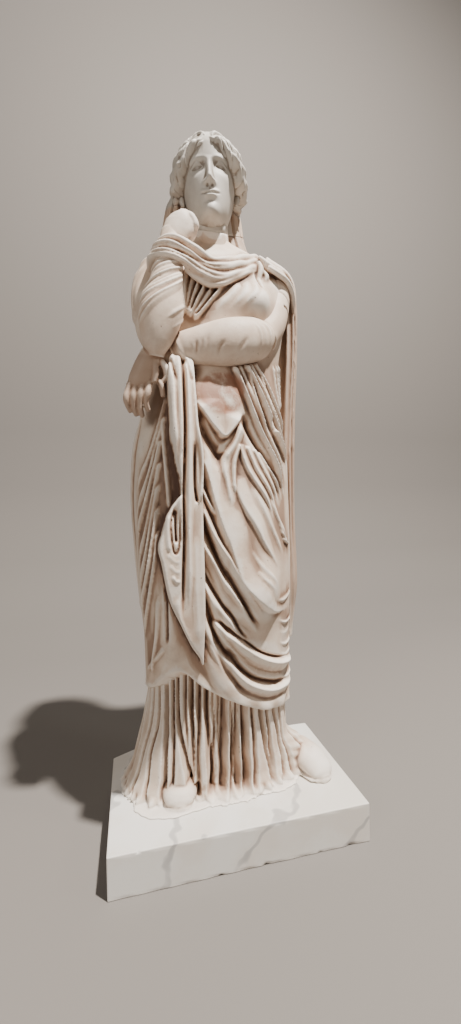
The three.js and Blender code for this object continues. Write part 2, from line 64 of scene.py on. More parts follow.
def curve(points, count):
    # evenly stepped points on a smooth curve through the given ones
    p = np.array(points, float)
    if len(p) == 2:
        return p[0] + (p[1] - p[0]) * np.linspace(0, 1, count)[:, None]
    p = np.vstack([2 * p[0] - p[1], p, 2 * p[-1] - p[-2]])
    t = np.linspace(0, len(p) - 3 - 1e-9, count)
    i = t.astype(int)
    f = (t - i)[:, None]
    a, b, c, d = p[i], p[i + 1], p[i + 2], p[i + 3]
    square, cube = 2 * a - 5 * b + 4 * c - d, 3 * b - a - 3 * c + d
    return 0.5 * (2 * b + (c - a) * f + square * f**2 + cube * f**3)


def clamp(x, low=0.0, high=1.0):
    return np.minimum(high, np.maximum(low, x))


def ease(x):
    return clamp(x) ** 2 * (3 - 2 * clamp(x))


def bump(x, middle, half):
    return np.exp(-(((x - middle) / half) ** 2))


def signedPower(x, p):
    return np.sign(x) * np.abs(x) ** p


def fromFront(turn):
    # a share of a whole turn, brought to between -0.5 and 0.5 with the front at 0
    return (turn + 0.5) % 1 - 0.5


def vectors(items, key):
    read = np.empty(len(items) * 3)
    items.foreach_get(key, read)
    return read.reshape(-1, 3)


def closeHoles(bm):
    bmesh.ops.holes_fill(bm, edges=[e for e in bm.edges if e.is_boundary], sides=0)


def linked(name, data):
    made = bpy.data.objects.new(name, data)
    bpy.context.scene.collection.objects.link(made)
    return made


def nearest(a, b, line):
    # signed distance to a line, and how far along it, for every place (a, b)
    near = np.full(a.shape, 1e9)
    side = np.ones(a.shape)
    at = np.zeros(a.shape)
    for i in range(len(line) - 1):
        x, y = line[i]
        dx, dy = line[i + 1] - line[i]
        length = dx * dx + dy * dy + 1e-9
        t = clamp(((a - x) * dx + (b - y) * dy) / length)
        ox, oy = a - x - t * dx, b - y - t * dy
        away = np.hypot(ox, oy)
        better = away < near
        near = np.where(better, away, near)
        side = np.where(better, np.sign(dx * oy - dy * ox), side)
        at = np.where(better, (i + t) / (len(line) - 1), at)
    return near, side, at


def carve(a, b, folds):
    # the height of carved folds at places (a, b) of an unrolled surface: ridges take the highest,
    # so that neighbours meet in a sharp valley; cuts and steps are added after
    high = np.zeros(a.shape)
    low = np.zeros(a.shape)
    for fold in folds:
        line = fold["line"]
        reach = fold.get("reach", max(fold["wide"]) * 1.05)
        box = (a > line[:, 0].min() - reach) & (a < line[:, 0].max() + reach)
        box &= (b > line[:, 1].min() - reach) & (b < line[:, 1].max() + reach)
        if not box.any():
            continue
        away, side, at = nearest(a[box], b[box], line)
        first, last = fold["fade"]
        taper = ease(at / first) * ease((1 - at) / last)
        wide = np.where(side > 0, fold["wide"][0], fold["wide"][1])
        if fold["kind"] == "ridge":
            shape = clamp(1 - (away / (wide * (0.45 + 0.55 * taper))) ** 2) ** fold["power"]
            high[box] = np.maximum(high[box], fold["rise"] * taper * shape)
        if fold["kind"] == "crest":
            shape = clamp(1 - away / (wide * (0.4 + 0.6 * taper))) ** fold["power"]
            high[box] = np.maximum(high[box], fold["rise"] * taper * shape)
        if fold["kind"] == "cut":
            low[box] += fold["rise"] * taper * clamp(1 - away / wide) ** fold["power"]
        if fold["kind"] == "step":
            over = ease(side * away / wide * 0.5 + 0.5) * ease(1 - side * away / reach)
            low[box] -= fold["rise"] * taper * over * (away < reach)
    return high - low


def folds(kind, first, last=None, count=1, rise=10, wide=14, power=0.8, fade=(0.15, 0.15), vary=0.2,
          **more):
    # a family of folds changing evenly from the first line to the last
    wide = wide if isinstance(wide, tuple) else (wide, wide)
    made = []
    a = curve(first, 22)
    b = a if last is None else curve(last, 22)
    for k in range(count):
        share = k / (count - 1) if count > 1 else 0
        wobble = 1 + vary * math.sin(k * 2.4 + len(first) + first[0][1])
        line = a * (1 - share) + b * share
        made.append(dict(kind=kind, line=line, rise=rise * wobble, wide=wide, power=power, fade=fade,
                         **more))
    return made


def closedSkin(bm, around, along, place):
    # a grid rolled into a closed skin: place(turn, up) gives each point, the ends shut on a middle
    sheet = bpy.data.meshes.new("sheet")
    grid = bmesh.new()
    bmesh.ops.create_grid(grid, x_segments=around, y_segments=along + 2, size=0.5)
    grid.to_mesh(sheet)
    grid.free()
    spots = vectors(sheet.vertices, "co") + 0.5
    turn = np.round(spots[:, 0] * around) / around % 1.0
    row = np.round(spots[:, 1] * (along + 2)) - 1
    up = clamp(row / along)
    moved = place(turn, up)
    for end, edge in ((-1, 0.0), (along + 1, 1.0)):
        ring = np.arange(around) / around
        moved[row == end] = place(ring, np.full(around, edge)).mean(axis=0)
    sheet.vertices.foreach_set("co", (moved * mm).ravel())
    part = bmesh.new()
    part.from_mesh(sheet)
    bmesh.ops.remove_doubles(part, verts=part.verts, dist=1e-6)
    bmesh.ops.recalc_face_normals(part, faces=part.faces)
    part.to_mesh(sheet)
    part.free()
    bm.from_mesh(sheet)
    bpy.data.meshes.remove(sheet)


def limb(bm, stations, around=48, along=60, facing=(0, -1, 0), blunt=0.6, relief=None):
    # a limb along a curve; stations are (x, y, z, half width, half depth), relief is in mm
    stations = np.array(stations, float)
    places = np.linspace(0, 1, len(stations))
    wide = through(list(zip(places, stations[:, 3])))
    deep = through(list(zip(places, stations[:, 4])))
    steps = along + 1
    path = curve(stations[:, :3], steps)
    tangent = np.gradient(path, axis=0)
    tangent /= np.linalg.norm(tangent, axis=1)[:, None]
    ahead = np.array(facing, float) - tangent * (tangent @ np.array(facing, float))[:, None]
    ahead /= np.linalg.norm(ahead, axis=1)[:, None]
    across = np.cross(tangent, ahead)
    length = np.concatenate([[0], np.cumsum(np.linalg.norm(np.diff(path, axis=0), axis=1))])

    def place(turn, up):
        i = np.round(up * along).astype(int)
        angle = turn * 2 * np.pi
        end = np.where((up < 1e-6) | (up > 1 - 1e-6), blunt, 1.0)
        lift = 0 if relief is None else relief(fromFront(turn), length[i], angle)
        w = (wide(up) + lift) * end
        d = (deep(up) + lift) * end
        return path[i] + across[i] * (np.sin(angle) * w)[:, None] + ahead[i] * (np.cos(angle) * d)[:, None]

    closedSkin(bm, around, along, place)


# the robe's outline, and places on it

foldScale = 200.0  # millimetres of cloth to one radian round the body
robe = dict(
    left=through([(300, -220), (500, -222), (610, -232), (740, -238), (860, -242), (975, -236),
                  (1080, -219), (1200, -200), (1330, -205), (1430, -206), (1490, -186), (1530, -138),
                  (1575, -76)]),
    right=through([(300, 183), (500, 181), (725, 187), (950, 185), (1060, 168), (1200, 160), (1330, 176),
                   (1430, 190), (1490, 168), (1530, 120), (1575, 30)]),
    front=through([(300, -104), (500, -114), (620, -124), (900, -118), (1060, -114), (1200, -100),
                   (1340, -108), (1430, -88), (1500, -60), (1575, -30)]),
    back=through([(300, 146), (620, 144), (960, 154), (1200, 122), (1400, 128), (1490, 114), (1575, 66)]),
)


def onOutline(outline, degrees, height, lift=0.0):
    left, right = outline["left"](height), outline["right"](height)
    front, back = outline["front"](height), outline["back"](height)
    angle = np.radians(degrees)
    x = (left + right) / 2 + (right - left) / 2 * signedPower(np.sin(angle), 0.85)
    y = (front + back) / 2 - (back - front) / 2 * signedPower(np.cos(angle), 0.85)
    return np.stack([x + lift * np.sin(angle), y - lift * np.cos(angle), height + 0 * angle], axis=-1)


def seen(outline, places):
    # (x seen from the front, height) to (millimetres round the cloth, height)
    made = []
    for x, height in places:
        left, right = float(outline["left"](height)), float(outline["right"](height))
        share = max(-0.995, min(0.995, (x - (left + right) / 2) / ((right - left) / 2)))
        made.append((math.asin(signedPower(share, 1 / 0.85)) * foldScale, height))
    return made


def roundRobe(places):
    return [(math.radians(degrees) * foldScale, height) for degrees, height in places]


# the robe

robeSettings = dict(
    around=560,
    along=640,
    hem=[(-180, 336), (-90, 366), (-60, 395), (-34, 442), (-18, 406), (-3, 366), (9.5, 338), (23, 319),
         (45, 310), (85, 304), (180, 336)],
    top=1575,
    swellings=[  # degrees, height, how far out, half width, half height
        (22, 640, 30, 50, 74), (16, 810, 26, 64, 150), (24, 480, 6, 60, 110), (-44, 640, 12, 60, 260),
        (-8, 1120, 18, 78, 72), (20, 1372, 28, 50, 46), (-30, 1380, 20, 52, 52),
        (150, 980, 18, 70, 90), (-150, 980, 18, 70, 90),
    ],
)


def swelling(degrees, height):
    total = 0 * height
    for at, level, out, halfWidth, halfHeight in robeSettings["swellings"]:
        across = bump(np.radians(degrees - at) * foldScale, 0, halfWidth)
        total = total + out * across * bump(height, level, halfHeight)
    return total


def onRobe(kind):
    # folds given as the robe is seen from the front: x and height in millimetres
    def family(first, last=None, count=1, **more):
        return folds(kind, seen(robe, first), last and seen(robe, last), count, **more)
    return family


crest, cut, ridge = onRobe("crest"), onRobe("cut"), onRobe("ridge")

robeFolds = [
    # the pointed flap over the belly: thick at its lower edge, soft above
    *crest([(-86, 1108), (-62, 1063), (-40, 1034), (-22, 1020), (-2, 1040), (26, 1082)], rise=15,
           wide=(46, 5), power=1.2, fade=(0.1, 0.12)),
    *crest([(-60, 1074), (-40, 1056), (-24, 1046), (-4, 1062), (20, 1074)], rise=10, wide=(10, 5),
           fade=(0.3, 0.3)),
    *crest([(-42, 1084), (-26, 1066), (-6, 1080)], rise=6, wide=(9, 4), fade=(0.3, 0.3)),
    # the strap of cloth that comes down from the flap to the thigh
    *crest([(22, 1058), (2, 1007), (-20, 972), (-27, 944), (-20, 895), (-14, 840), (-6, 770)], rise=16,
           wide=(15, 6), power=0.8, fade=(0.08, 0.3)),
    *crest([(16, 1010), (-2, 960), (-6, 905), (-4, 860)], rise=15, wide=(8, 7), power=0.9, fade=(0.1, 0.3)),
    *crest([(14, 1040), (-18, 1006), (-55, 962)], rise=5, wide=(14, 5), fade=(0.2, 0.3)),
    # sharp folds that leave the hanging end and run down to the knee
    *crest([(-100, 1090), (-82, 985), (-64, 925), (-47, 846), (-23, 769), (-4, 700), (15, 648), (62, 594),
            (110, 572), (156, 574)], rise=21, wide=(40, 12), power=1.15, fade=(0.05, 0.36)),
    *crest([(-104, 960), (-84, 904), (-66, 860), (-47, 825), (-28, 780)], rise=19, wide=(8, 9), power=1.1,
           fade=(0.04, 0.4)),
    *crest([(-104, 930), (-84, 862), (-57, 788), (-27, 731), (-2, 680), (26, 622), (60, 574)], rise=20,
           wide=(10, 12), power=1.0, fade=(0.04, 0.3)),
    # the great curved folds round the shin: each rises to a lip and drops into a narrow dark line
    *crest([(-104, 830), (-80, 760), (-50, 704), (-20, 655), (6, 604), (28, 562), (60, 516)], rise=15,
           wide=(10, 22), power=1.0, fade=(0.04, 0.3)),
    *crest([(-104, 720), (-84, 668), (-62, 625), (-26, 573), (4, 524), (44, 482), (84, 462)], rise=17,
           wide=(8, 26), power=0.9, fade=(0.04, 0.3)),
    *crest([(-62, 572), (-50, 560), (-18, 525), (22, 491), (68, 457), (124, 434), (178, 430)], rise=17,
           wide=(9, 28), power=0.95, fade=(0.22, 0.14)),
    *crest([(-104, 680), (-84, 606), (-62, 520), (-27, 461), (8, 419), (50, 386), (110, 366), (178, 376)],
           rise=16, wide=(10, 28), power=0.9, fade=(0.04, 0.1)),
    *ridge([(-104, 600), (-80, 500), (-56, 452), (-20, 394), (30, 346), (100, 326), (160, 340)], rise=9,
           wide=26, power=1.0, fade=(0.04, 0.1)),
    # thin lines of cloth along them
    *cut([(-96, 800), (-52, 690), (-16, 620), (30, 560)],
         [(-96, 560), (-58, 500), (-24, 432), (20, 384), (70, 356)], 6, rise=2.6, wide=(5, 4), power=0.9,
         fade=(0.15, 0.3)),
    *cut([(-100, 880), (-64, 772), (-42, 710), (-16, 664), (10, 618), (36, 572), (60, 540)], rise=14,
         wide=(7, 8), power=0.7, fade=(0.05, 0.3)),
    *cut([(-100, 760), (-80, 692), (-54, 638), (-19, 586), (14, 532), (40, 500)], rise=12, wide=(4, 6),
         power=0.7, fade=(0.03, 0.35)),
    *cut([(-52, 580), (-13, 538), (27, 504), (72, 470), (124, 447), (160, 440)], rise=13, wide=(4, 6),
         power=0.7, fade=(0.14, 0.35)),
    *cut([(-100, 730), (-76, 610), (-55, 533), (-20, 477), (15, 434), (56, 402), (112, 381), (150, 380)],
         rise=14, wide=(10, 7), power=0.7, fade=(0.03, 0.2)),
    *cut([(-98, 660), (-76, 580), (-53, 511), (-27, 447), (8, 390), (40, 358)], rise=8, wide=(12, 9),
         power=0.9, fade=(0.05, 0.4)),
    *crest([(58, 322), (110, 344), (168, 392)], rise=7, wide=(12, 9), fade=(0.3, 0.1)),
    # small folds caught at the outer side of the knee and shin
    *crest([(112, 552), (146, 536), (176, 548)], [(124, 396), (152, 384), (178, 398)], 6, rise=4.5,
           wide=(5, 9), power=1.3, fade=(0.6, 0.3), vary=0.6),
    *crest([(104, 604), (140, 600), (170, 622)], rise=6, wide=(8, 8), fade=(0.4, 0.2)),
    *crest([(112, 812), (134, 782), (150, 742)], [(132, 766), (148, 752), (166, 742)], 3, rise=7,
           wide=(7, 5), fade=(0.4, 0.3)),
    # folds from under the elbow round the hip
    *crest([(6, 1204), (36, 1120), (78, 1022), (121, 941), (152, 866)],
           [(62, 1215), (104, 1156), (140, 1084), (166, 1030)], 5, rise=15, wide=(12, 8), power=1.05,
           fade=(0.04, 0.3), vary=0.5),
    *crest([(40, 1204), (60, 1130), (84, 1062), (112, 1000)],
           [(74, 1200), (104, 1130), (138, 1066), (158, 1010)], 3, rise=9, wide=(6, 6), power=1.1,
           fade=(0.1, 0.4), vary=0.5),
    *cut([(102, 1084), (108, 1062), (117, 1040)], rise=14, wide=6, power=0.6),
    *crest([(128, 1226), (134, 1170), (152, 1100)], [(150, 1240), (156, 1180), (168, 1110)], 3, rise=8,
           wide=(6, 6)),
    *cut([(24, 1084), (48, 1028), (84, 972), (124, 906)], rise=13, wide=(12, 14), power=0.8,
         fade=(0.2, 0.3)),
    *cut([(-92, 1086), (-70, 1026), (-44, 978), (-34, 930)], rise=13, wide=(13, 15), power=0.8,
         fade=(0.15, 0.35)),
    # taut folds over the thigh
    *crest([(-12, 935), (13, 853), (41, 798), (70, 740), (112, 682)], rise=9, wide=(26, 7), power=1.2,
           fade=(0.08, 0.3)),
    *crest([(10, 1008), (31, 938), (66, 876), (102, 812)], [(64, 986), (97, 934), (138, 862)], 4, rise=9,
           wide=(16, 5), power=1.2, fade=(0.05, 0.35)),
    *crest([(36, 900), (84, 800), (140, 712)], [(80, 880), (118, 812), (158, 756)], 2, rise=5, wide=(14, 6),
           fade=(0.3, 0.3)),
    *crest([(12, 770), (52, 700), (104, 640)], [(-4, 730), (26, 672), (76, 616)], 3, rise=2.6, wide=(7, 6),
           fade=(0.3, 0.3)),
    # long slanting folds over the straight leg
    *crest([(-152, 1130), (-168, 1075), (-200, 975), (-236, 880)],
           [(-178, 800), (-190, 700), (-208, 600), (-226, 500)], 7, rise=11, wide=(8, 13), power=0.95,
           fade=(0.08, 0.25)),
    *cut([(-164, 1110), (-190, 1010), (-220, 920)], [(-184, 760), (-200, 660), (-214, 580)], 5, rise=4,
         wide=(5, 5), power=0.8, fade=(0.2, 0.3)),
    *crest([(-164, 1100), (-163, 969), (-158, 900), (-152, 830)], rise=11, wide=(6, 9)),
    *cut([(-166, 660), (-165, 600), (-165, 504)], rise=11, wide=(6, 6), power=0.7),
    *crest([(-178, 640), (-184, 560), (-196, 480), (-206, 420)], rise=7, wide=(8, 12)),
    *crest([(-216, 424), (-190, 470), (-168, 502)], rise=5, wide=(10, 8), power=1.1),
    # the tunic drawn together over the breast
    *crest([(-98, 1450), (-104, 1384), (-110, 1318)], [(14, 1440), (-30, 1380), (-66, 1334), (-90, 1306)],
           6, rise=10, wide=(7, 10), power=1.05, fade=(0.02, 0.12), vary=0.4),
    *cut([(-86, 1446), (-97, 1384), (-105, 1326)], [(2, 1436), (-38, 1378), (-70, 1334), (-90, 1312)], 5,
         rise=8, wide=(4, 5), power=0.8, fade=(0.02, 0.25), vary=0.5),
    *crest([(30, 1420), (4, 1380), (-34, 1330)], [(70, 1430), (60, 1390), (30, 1344)], 3, rise=3,
           wide=(9, 7), fade=(0.25, 0.3)),
    *cut([(86, 1484), (81, 1447), (85, 1404)], rise=10, wide=5, power=0.7),
    # broad folds over the back, from the left shoulder round to the right hip
    *folds("ridge", roundRobe([(104, 1450), (150, 1410), (205, 1320), (262, 1240)]),
           roundRobe([(100, 760), (140, 600), (200, 470), (262, 440)]), 7, rise=10, wide=(26, 56),
           power=1.15, fade=(0.15, 0.2), vary=0.45),
    *folds("cut", roundRobe([(110, 1380), (150, 1330), (200, 1230)]),
           roundRobe([(120, 660), (160, 540), (210, 470)]), 4, rise=4, wide=(7, 12), power=0.9,
           fade=(0.25, 0.4), vary=0.5),
    *folds("ridge", roundRobe([(-100, 1300), (-118, 1120), (-128, 900), (-134, 700)]),
           roundRobe([(-84, 1120), (-96, 900), (-104, 700), (-112, 500)]), 3, rise=9, wide=16),
]


def robeLift(degrees, height):
    a = np.radians(degrees) * foldScale
    turned = np.where(degrees < -80, a + 2 * np.pi * foldScale, a)
    height = height + 0 * a
    back = [f for f in robeFolds if f["line"][:, 0].max() > math.radians(190) * foldScale]
    front = [f for f in robeFolds if f["line"][:, 0].max() <= math.radians(190) * foldScale]
    high = carve(a, height, front) + carve(turned, height, back)
    return swelling(degrees, height) + high


def makeRobe(bm):
    hem = through(robeSettings["hem"])

    def place(turn, up):
        even = fromFront(turn)
        degrees = even * 360 - 18 * np.sin(even * 2 * np.pi)
        low = hem(degrees)
        height = low + (robeSettings["top"] - low) * up
        wave = 2.5 * np.sin(degrees * 0.31) * ease(1 - (height - low) / 30)
        return onOutline(robe, degrees, height, robeLift(degrees, height) + wave)

    closedSkin(bm, robeSettings["around"], robeSettings["along"], place)


# the tunic that shows below the robe

tunicSettings = dict(
    floor=97.3,
    top=520,
    outline=dict(
        left=through([(95, -284), (118, -281), (155, -264), (235, -242), (290, -228), (520, -196)]),
        right=through([(95, 204), (160, 190), (212, 176), (300, 170), (520, 160)]),
        front=through([(95, -106), (150, -94), (300, -94), (520, -100)]),
        back=through([(95, 168), (150, 154), (300, 136), (520, 124)]),
    ),
    grooves=[  # x at the top, x at the floor, depth, half width
        (-218, -286, 13, 8), (-206, -268, 20, 7), (-191, -232, 16, 6), (-173, -188, 34, 8),
        (-158, -172, 14, 6),
        (-146, -112, 20, 6), (-128, -124, 12, 6), (-113, -122, 24, 7), (-94, -98, 20, 7), (-74, -62, 26, 7),
        (-58, -66, 12, 5), (-46, -58, 18, 6), (-30, -38, 34, 8), (-7, -14, 18, 6), (10, 4, 30, 9),
        (27, 30, 30, 9), (48, 52, 13, 6), (72, 112, 30, 8), (90, 112, 16, 6), (110, 142, 18, 7),
        (132, 164, 14, 7),
        (150, 184, 14, 8),
    ],
)


def makeTunic(bm):
    outline = tunicSettings["outline"]
    cuts = []
    for k, (top, low, depth, half) in enumerate(tunicSettings["grooves"]):
        middle = (top + low) / 2 + 5 * math.sin(k * 2.1)
        line = seen(outline, [(top, 500), (top, 330), (middle, 215), (low, 96)])
        cuts += folds("cut", line, rise=depth, wide=(half, half * 1.4), power=0.6, fade=(0.01, 0.08),
                      vary=0)
    for degrees in list(range(84, 200, 9)) + list(range(-160, -84, 9)):
        tilt = 3 * math.sin(degrees)
        line = roundRobe([(degrees, 500), (degrees + tilt, 300), (degrees, 96)])
        depth = 11 + 4 * math.sin(degrees * 2.3)
        cuts += folds("cut", line, rise=depth, wide=(9, 14), power=0.8, fade=(0.01, 0.12), vary=0)

    def place(turn, up):
        even = fromFront(turn)
        degrees = even * 360 - 14 * np.sin(even * 2 * np.pi)
        height = tunicSettings["floor"] + (tunicSettings["top"] - tunicSettings["floor"]) * up
        lift = carve(np.radians(degrees) * foldScale, height, cuts)
        curl = 6.5 * np.sin(degrees * 0.8 + 2.2 * np.sin(degrees * 0.19)) * ease((126 - height) / 20)
        lip = (3.5 + 2.5 * np.sin(degrees * 0.7 + 2 * np.sin(degrees * 0.21))) * ease((122 - height) / 14)
        curl = curl + lip - 5 * ease((105 - height) / 5)
        ruffle = 50 + 4.5 * np.sin(height * 0.26 + degrees * 0.2)
        overRightFoot = ruffle * bump(degrees, 80, 20) * ease((222 - height) / 70)
        aboveToe = 46 * bump(degrees, -21, 10) * ease((150 - height) / 25)
        return onOutline(outline, degrees, height, lift + curl + overRightFoot - aboveToe)

    closedSkin(bm, 640, 220, place)


# cloth that hangs free of the robe

hangingSettings = dict(
    left=[(466, -91), (515, -116), (568, -140), (634, -168), (716, -183), (749, -190), (790, -180),
          (819, -172), (848, -158), (870, -141), (877, -135), (907, -136), (951, -145), (989, -150),
          (1019, -156), (1083, -157), (1142, -159), (1226, -152)],
    right=[(466, -86), (593, -82), (877, -84), (979, -80), (1047, -92), (1226, -96)],
    front=[(466, -140), (560, -150), (700, -158), (1000, -156), (1110, -146), (1170, -134), (1206, -121),
           (1226, -108)],
    back=-70,
)


def makeHangingEnd(bm):
    left, right = through(hangingSettings["left"]), through(hangingSettings["right"])
    front = through(hangingSettings["front"])
    relief = [
        # the deep groove down its middle, and the shorter one beside it
        *folds("cut", [(-121, 1215), (-122, 1100), (-123, 1025), (-129, 877), (-129, 788), (-134, 679),
                       (-138, 580)], rise=16, wide=(6, 6), power=0.6, fade=(0.01, 0.2)),
        *folds("cut", [(-101, 1010), (-102, 907), (-97, 856)], rise=13, wide=(5, 6), power=0.7,
               fade=(0.3, 0.1)),
        *folds("crest", [(-92, 1222), (-92, 1047), (-84, 960), (-86, 892), (-97, 850)], rise=8, wide=(6, 7),
               fade=(0.05, 0.2)),
        *folds("crest", [(-113, 1222), (-114, 1000), (-118, 860), (-120, 730), (-122, 600)], rise=7,
               wide=(12, 8), fade=(0.05, 0.2)),
        *folds("crest", [(-132, 1222), (-131, 1000), (-137, 890), (-137, 770)], rise=7, wide=(6, 9),
               fade=(0.05, 0.2)),
        *folds("crest", [(-148, 1180), (-146, 1060), (-142, 980)], rise=5, wide=(6, 8), fade=(0.1, 0.3)),
        # folds gathered under the arm
        *folds("cut", [(-152, 1206), (-144, 1170), (-140, 1140)],
               [(-116, 1206), (-106, 1164), (-102, 1142)], 2, rise=9, wide=(5, 5), power=0.7,
               fade=(0.05, 0.4)),
        # the lappet turned out at the side, with its loop
        *folds("cut", [(-150, 856), (-160, 806), (-156, 752), (-148, 742), (-141, 772), (-138, 850)],
               rise=9, wide=(4, 4), power=0.7, fade=(0.1, 0.1)),
        *folds("cut", [(-150, 846), (-150, 800), (-149, 762)], rise=13, wide=(5, 5), power=0.6),
        *folds("crest", [(-166, 836), (-168, 790), (-164, 742)], rise=5, wide=(5, 8)),
        *folds("crest", [(-172, 742), (-152, 722), (-142, 724)], [(-160, 690), (-150, 676), (-143, 678)], 3,
               rise=2.5, wide=(5, 8), power=1.1, vary=0.6),
        *folds("crest", [(-150, 640), (-140, 570), (-118, 515)], rise=3, wide=(8, 10)),
        *folds("crest", [(-106, 800), (-104, 650), (-98, 520)], rise=3, wide=(14, 12), power=1.1),
    ]

    def place(turn, up):
        height = 466 + 760 * up
        l, r = left(height), right(height)
        share = clamp(turn / 0.7)
        edge = np.minimum(share, 1 - share) * (r - l)
        x = np.where(turn <= 0.7, l + (r - l) * share, r + (l - r) * (turn - 0.7) / 0.3)
        roll = 6 * (1 - clamp(edge / 6)) ** 2
        y = np.where(turn <= 0.7, front(height) + roll - carve(x, height, relief), hangingSettings["back"])
        return np.stack([x, y, height], axis=-1)

    closedSkin(bm, 200, 420, place)


def makeSideFall(bm):
    lines = [
        *folds("cut", [(36, 60), (34, 400), (40, 760), (36, 1080)], rise=15, wide=(13, 13), power=0.7,
               fade=(0.04, 0.06)),
        *folds("cut", [(-34, 40), (-30, 420), (-36, 900)], [(10, 60), (4, 420), (12, 1000)], 3, rise=8,
               wide=(5, 7), power=0.7, fade=(0.06, 0.2), vary=0.4),
        *folds("crest", [(20, 90), (18, 500), (24, 1080)], [(52, 90), (52, 500), (56, 1080)], 2, rise=5,
               wide=(6, 8), fade=(0.05, 0.1)),
        *folds("cut", [(80, 40), (84, 500), (80, 1080)], [(140, 40), (136, 500), (130, 1080)], 3, rise=9,
               wide=(8, 8), power=0.7, fade=(0.1, 0.1)),
    ]

    def relief(turn, length, angle):
        return carve(turn * 230, length, lines) + 1.2 * np.sin(angle * 9 + length / 90)

    limb(bm, [
        (128, 40, 1536, 38, 38), (196, 48, 1500, 36, 42), (214, 52, 1420, 28, 48), (212, 54, 1290, 28, 50),
        (202, 54, 1095, 28, 48), (199, 54, 840, 27, 46), (203, 54, 640, 27, 44), (204, 58, 548, 20, 36),
        (204, 60, 455, 12, 24),
    ], 180, 300, blunt=0.8, relief=relief)


def makeCollar(bm):
    rolls = [
        [(-150, 20, 1500, 11, 12), (-166, -50, 1497, 11, 12), (-165, -102, 1490, 11, 12),
         (-138, -130, 1483, 10, 12), (-92, -122, 1470, 11, 13), (-50, -106, 1455, 14, 15),
         (0, -84, 1471, 15, 14), (60, -50, 1504, 11, 13), (104, -4, 1538, 10, 12), (112, 50, 1546, 12, 12)],
        [(-170, 16, 1482, 12, 12), (-181, -58, 1477, 11, 12), (-176, -110, 1470, 9, 11),
         (-148, -136, 1464, 8, 11), (-112, -134, 1454, 8, 12), (-64, -120, 1436, 10, 13),
         (-20, -106, 1440, 12, 14), (40, -78, 1470, 11, 13), (100, -24, 1516, 10, 11),
         (112, 30, 1526, 10, 10)],
        [(-178, 10, 1462, 12, 12), (-188, -58, 1456, 11, 12), (-182, -112, 1448, 11, 12),
         (-154, -138, 1442, 12, 12), (-118, -136, 1433, 13, 13), (-72, -124, 1415, 14, 13),
         (-30, -114, 1411, 13, 13), (24, -96, 1436, 10, 12), (84, -52, 1482, 9, 10),
         (108, -10, 1506, 9, 9)],
        [(-112, -124, 1420, 5, 8), (-84, -120, 1404, 7, 10), (-50, -116, 1395, 8, 11),
         (-10, -110, 1405, 9, 10), (40, -90, 1440, 8, 9), (92, -50, 1478, 6, 7)],
    ]
    for k, stations in enumerate(rolls):
        crease = folds("cut", [(6, 30), (8 - k * 4, 160), (2, 330)], rise=3.5, wide=(4, 4), power=0.7)
        crease += folds("cut", [(-14, 90), (-12, 220), (-16 + k * 3, 340)], rise=3, wide=(4, 4), power=0.7)
        crease += folds("cut", [(16, 150 + k * 20), (12, 230), (20, 300)], rise=2.5, wide=(3, 5), power=0.8)
        limb(bm, stations, 40, 170, relief=lambda turn, length, angle: (
            carve(turn * 80, length, crease) + 1.5 * np.sin(length / 27 + k * 2)
            + 0.8 * np.sin(length / 11 + angle * 2 + k)))
    # cloth behind the rolls, over the breastbone and beside the raised forearm
    limb(bm, [(-150, -36, 1446, 30, 40), (-104, -62, 1434, 26, 30), (-60, -58, 1434, 28, 30),
              (0, -40, 1456, 28, 30), (60, -14, 1490, 24, 30)], 30, 40)


def makeShoulderFold(bm):
    # the mantle gathered on the left shoulder, with its small ruffles
    limb(bm, [(104, -30, 1520, 10, 14), (122, -52, 1490, 10, 13), (150, -52, 1476, 9, 12),
              (178, -36, 1467, 10, 12), (204, -6, 1448, 11, 13), (218, 16, 1420, 10, 11),
              (226, 26, 1370, 8, 9), (228, 32, 1310, 4, 5)], 28, 80, relief=lambda turn, length,
         angle: 1.6 * np.sin(angle * 3 + length / 14))
    limb(bm, [(92, -58, 1496, 6, 8), (97, -66, 1474, 8, 9), (92, -70, 1452, 6, 7), (90, -70, 1424, 3, 4)],
         20, 30)
    limb(bm, [(98, -60, 1474, 7, 9), (112, -64, 1456, 8, 9), (106, -66, 1440, 6, 7)], 20, 20)
    limb(bm, [(118, -62, 1484, 6, 7), (146, -62, 1470, 7, 8), (180, -46, 1460, 7, 8),
              (206, -18, 1438, 7, 8), (216, 6, 1400, 4, 5)], 20, 40)


# arms and hands

def sleeve(scale, families):
    def relief(turn, length, angle):
        return carve(turn * scale, length, families)
    return relief


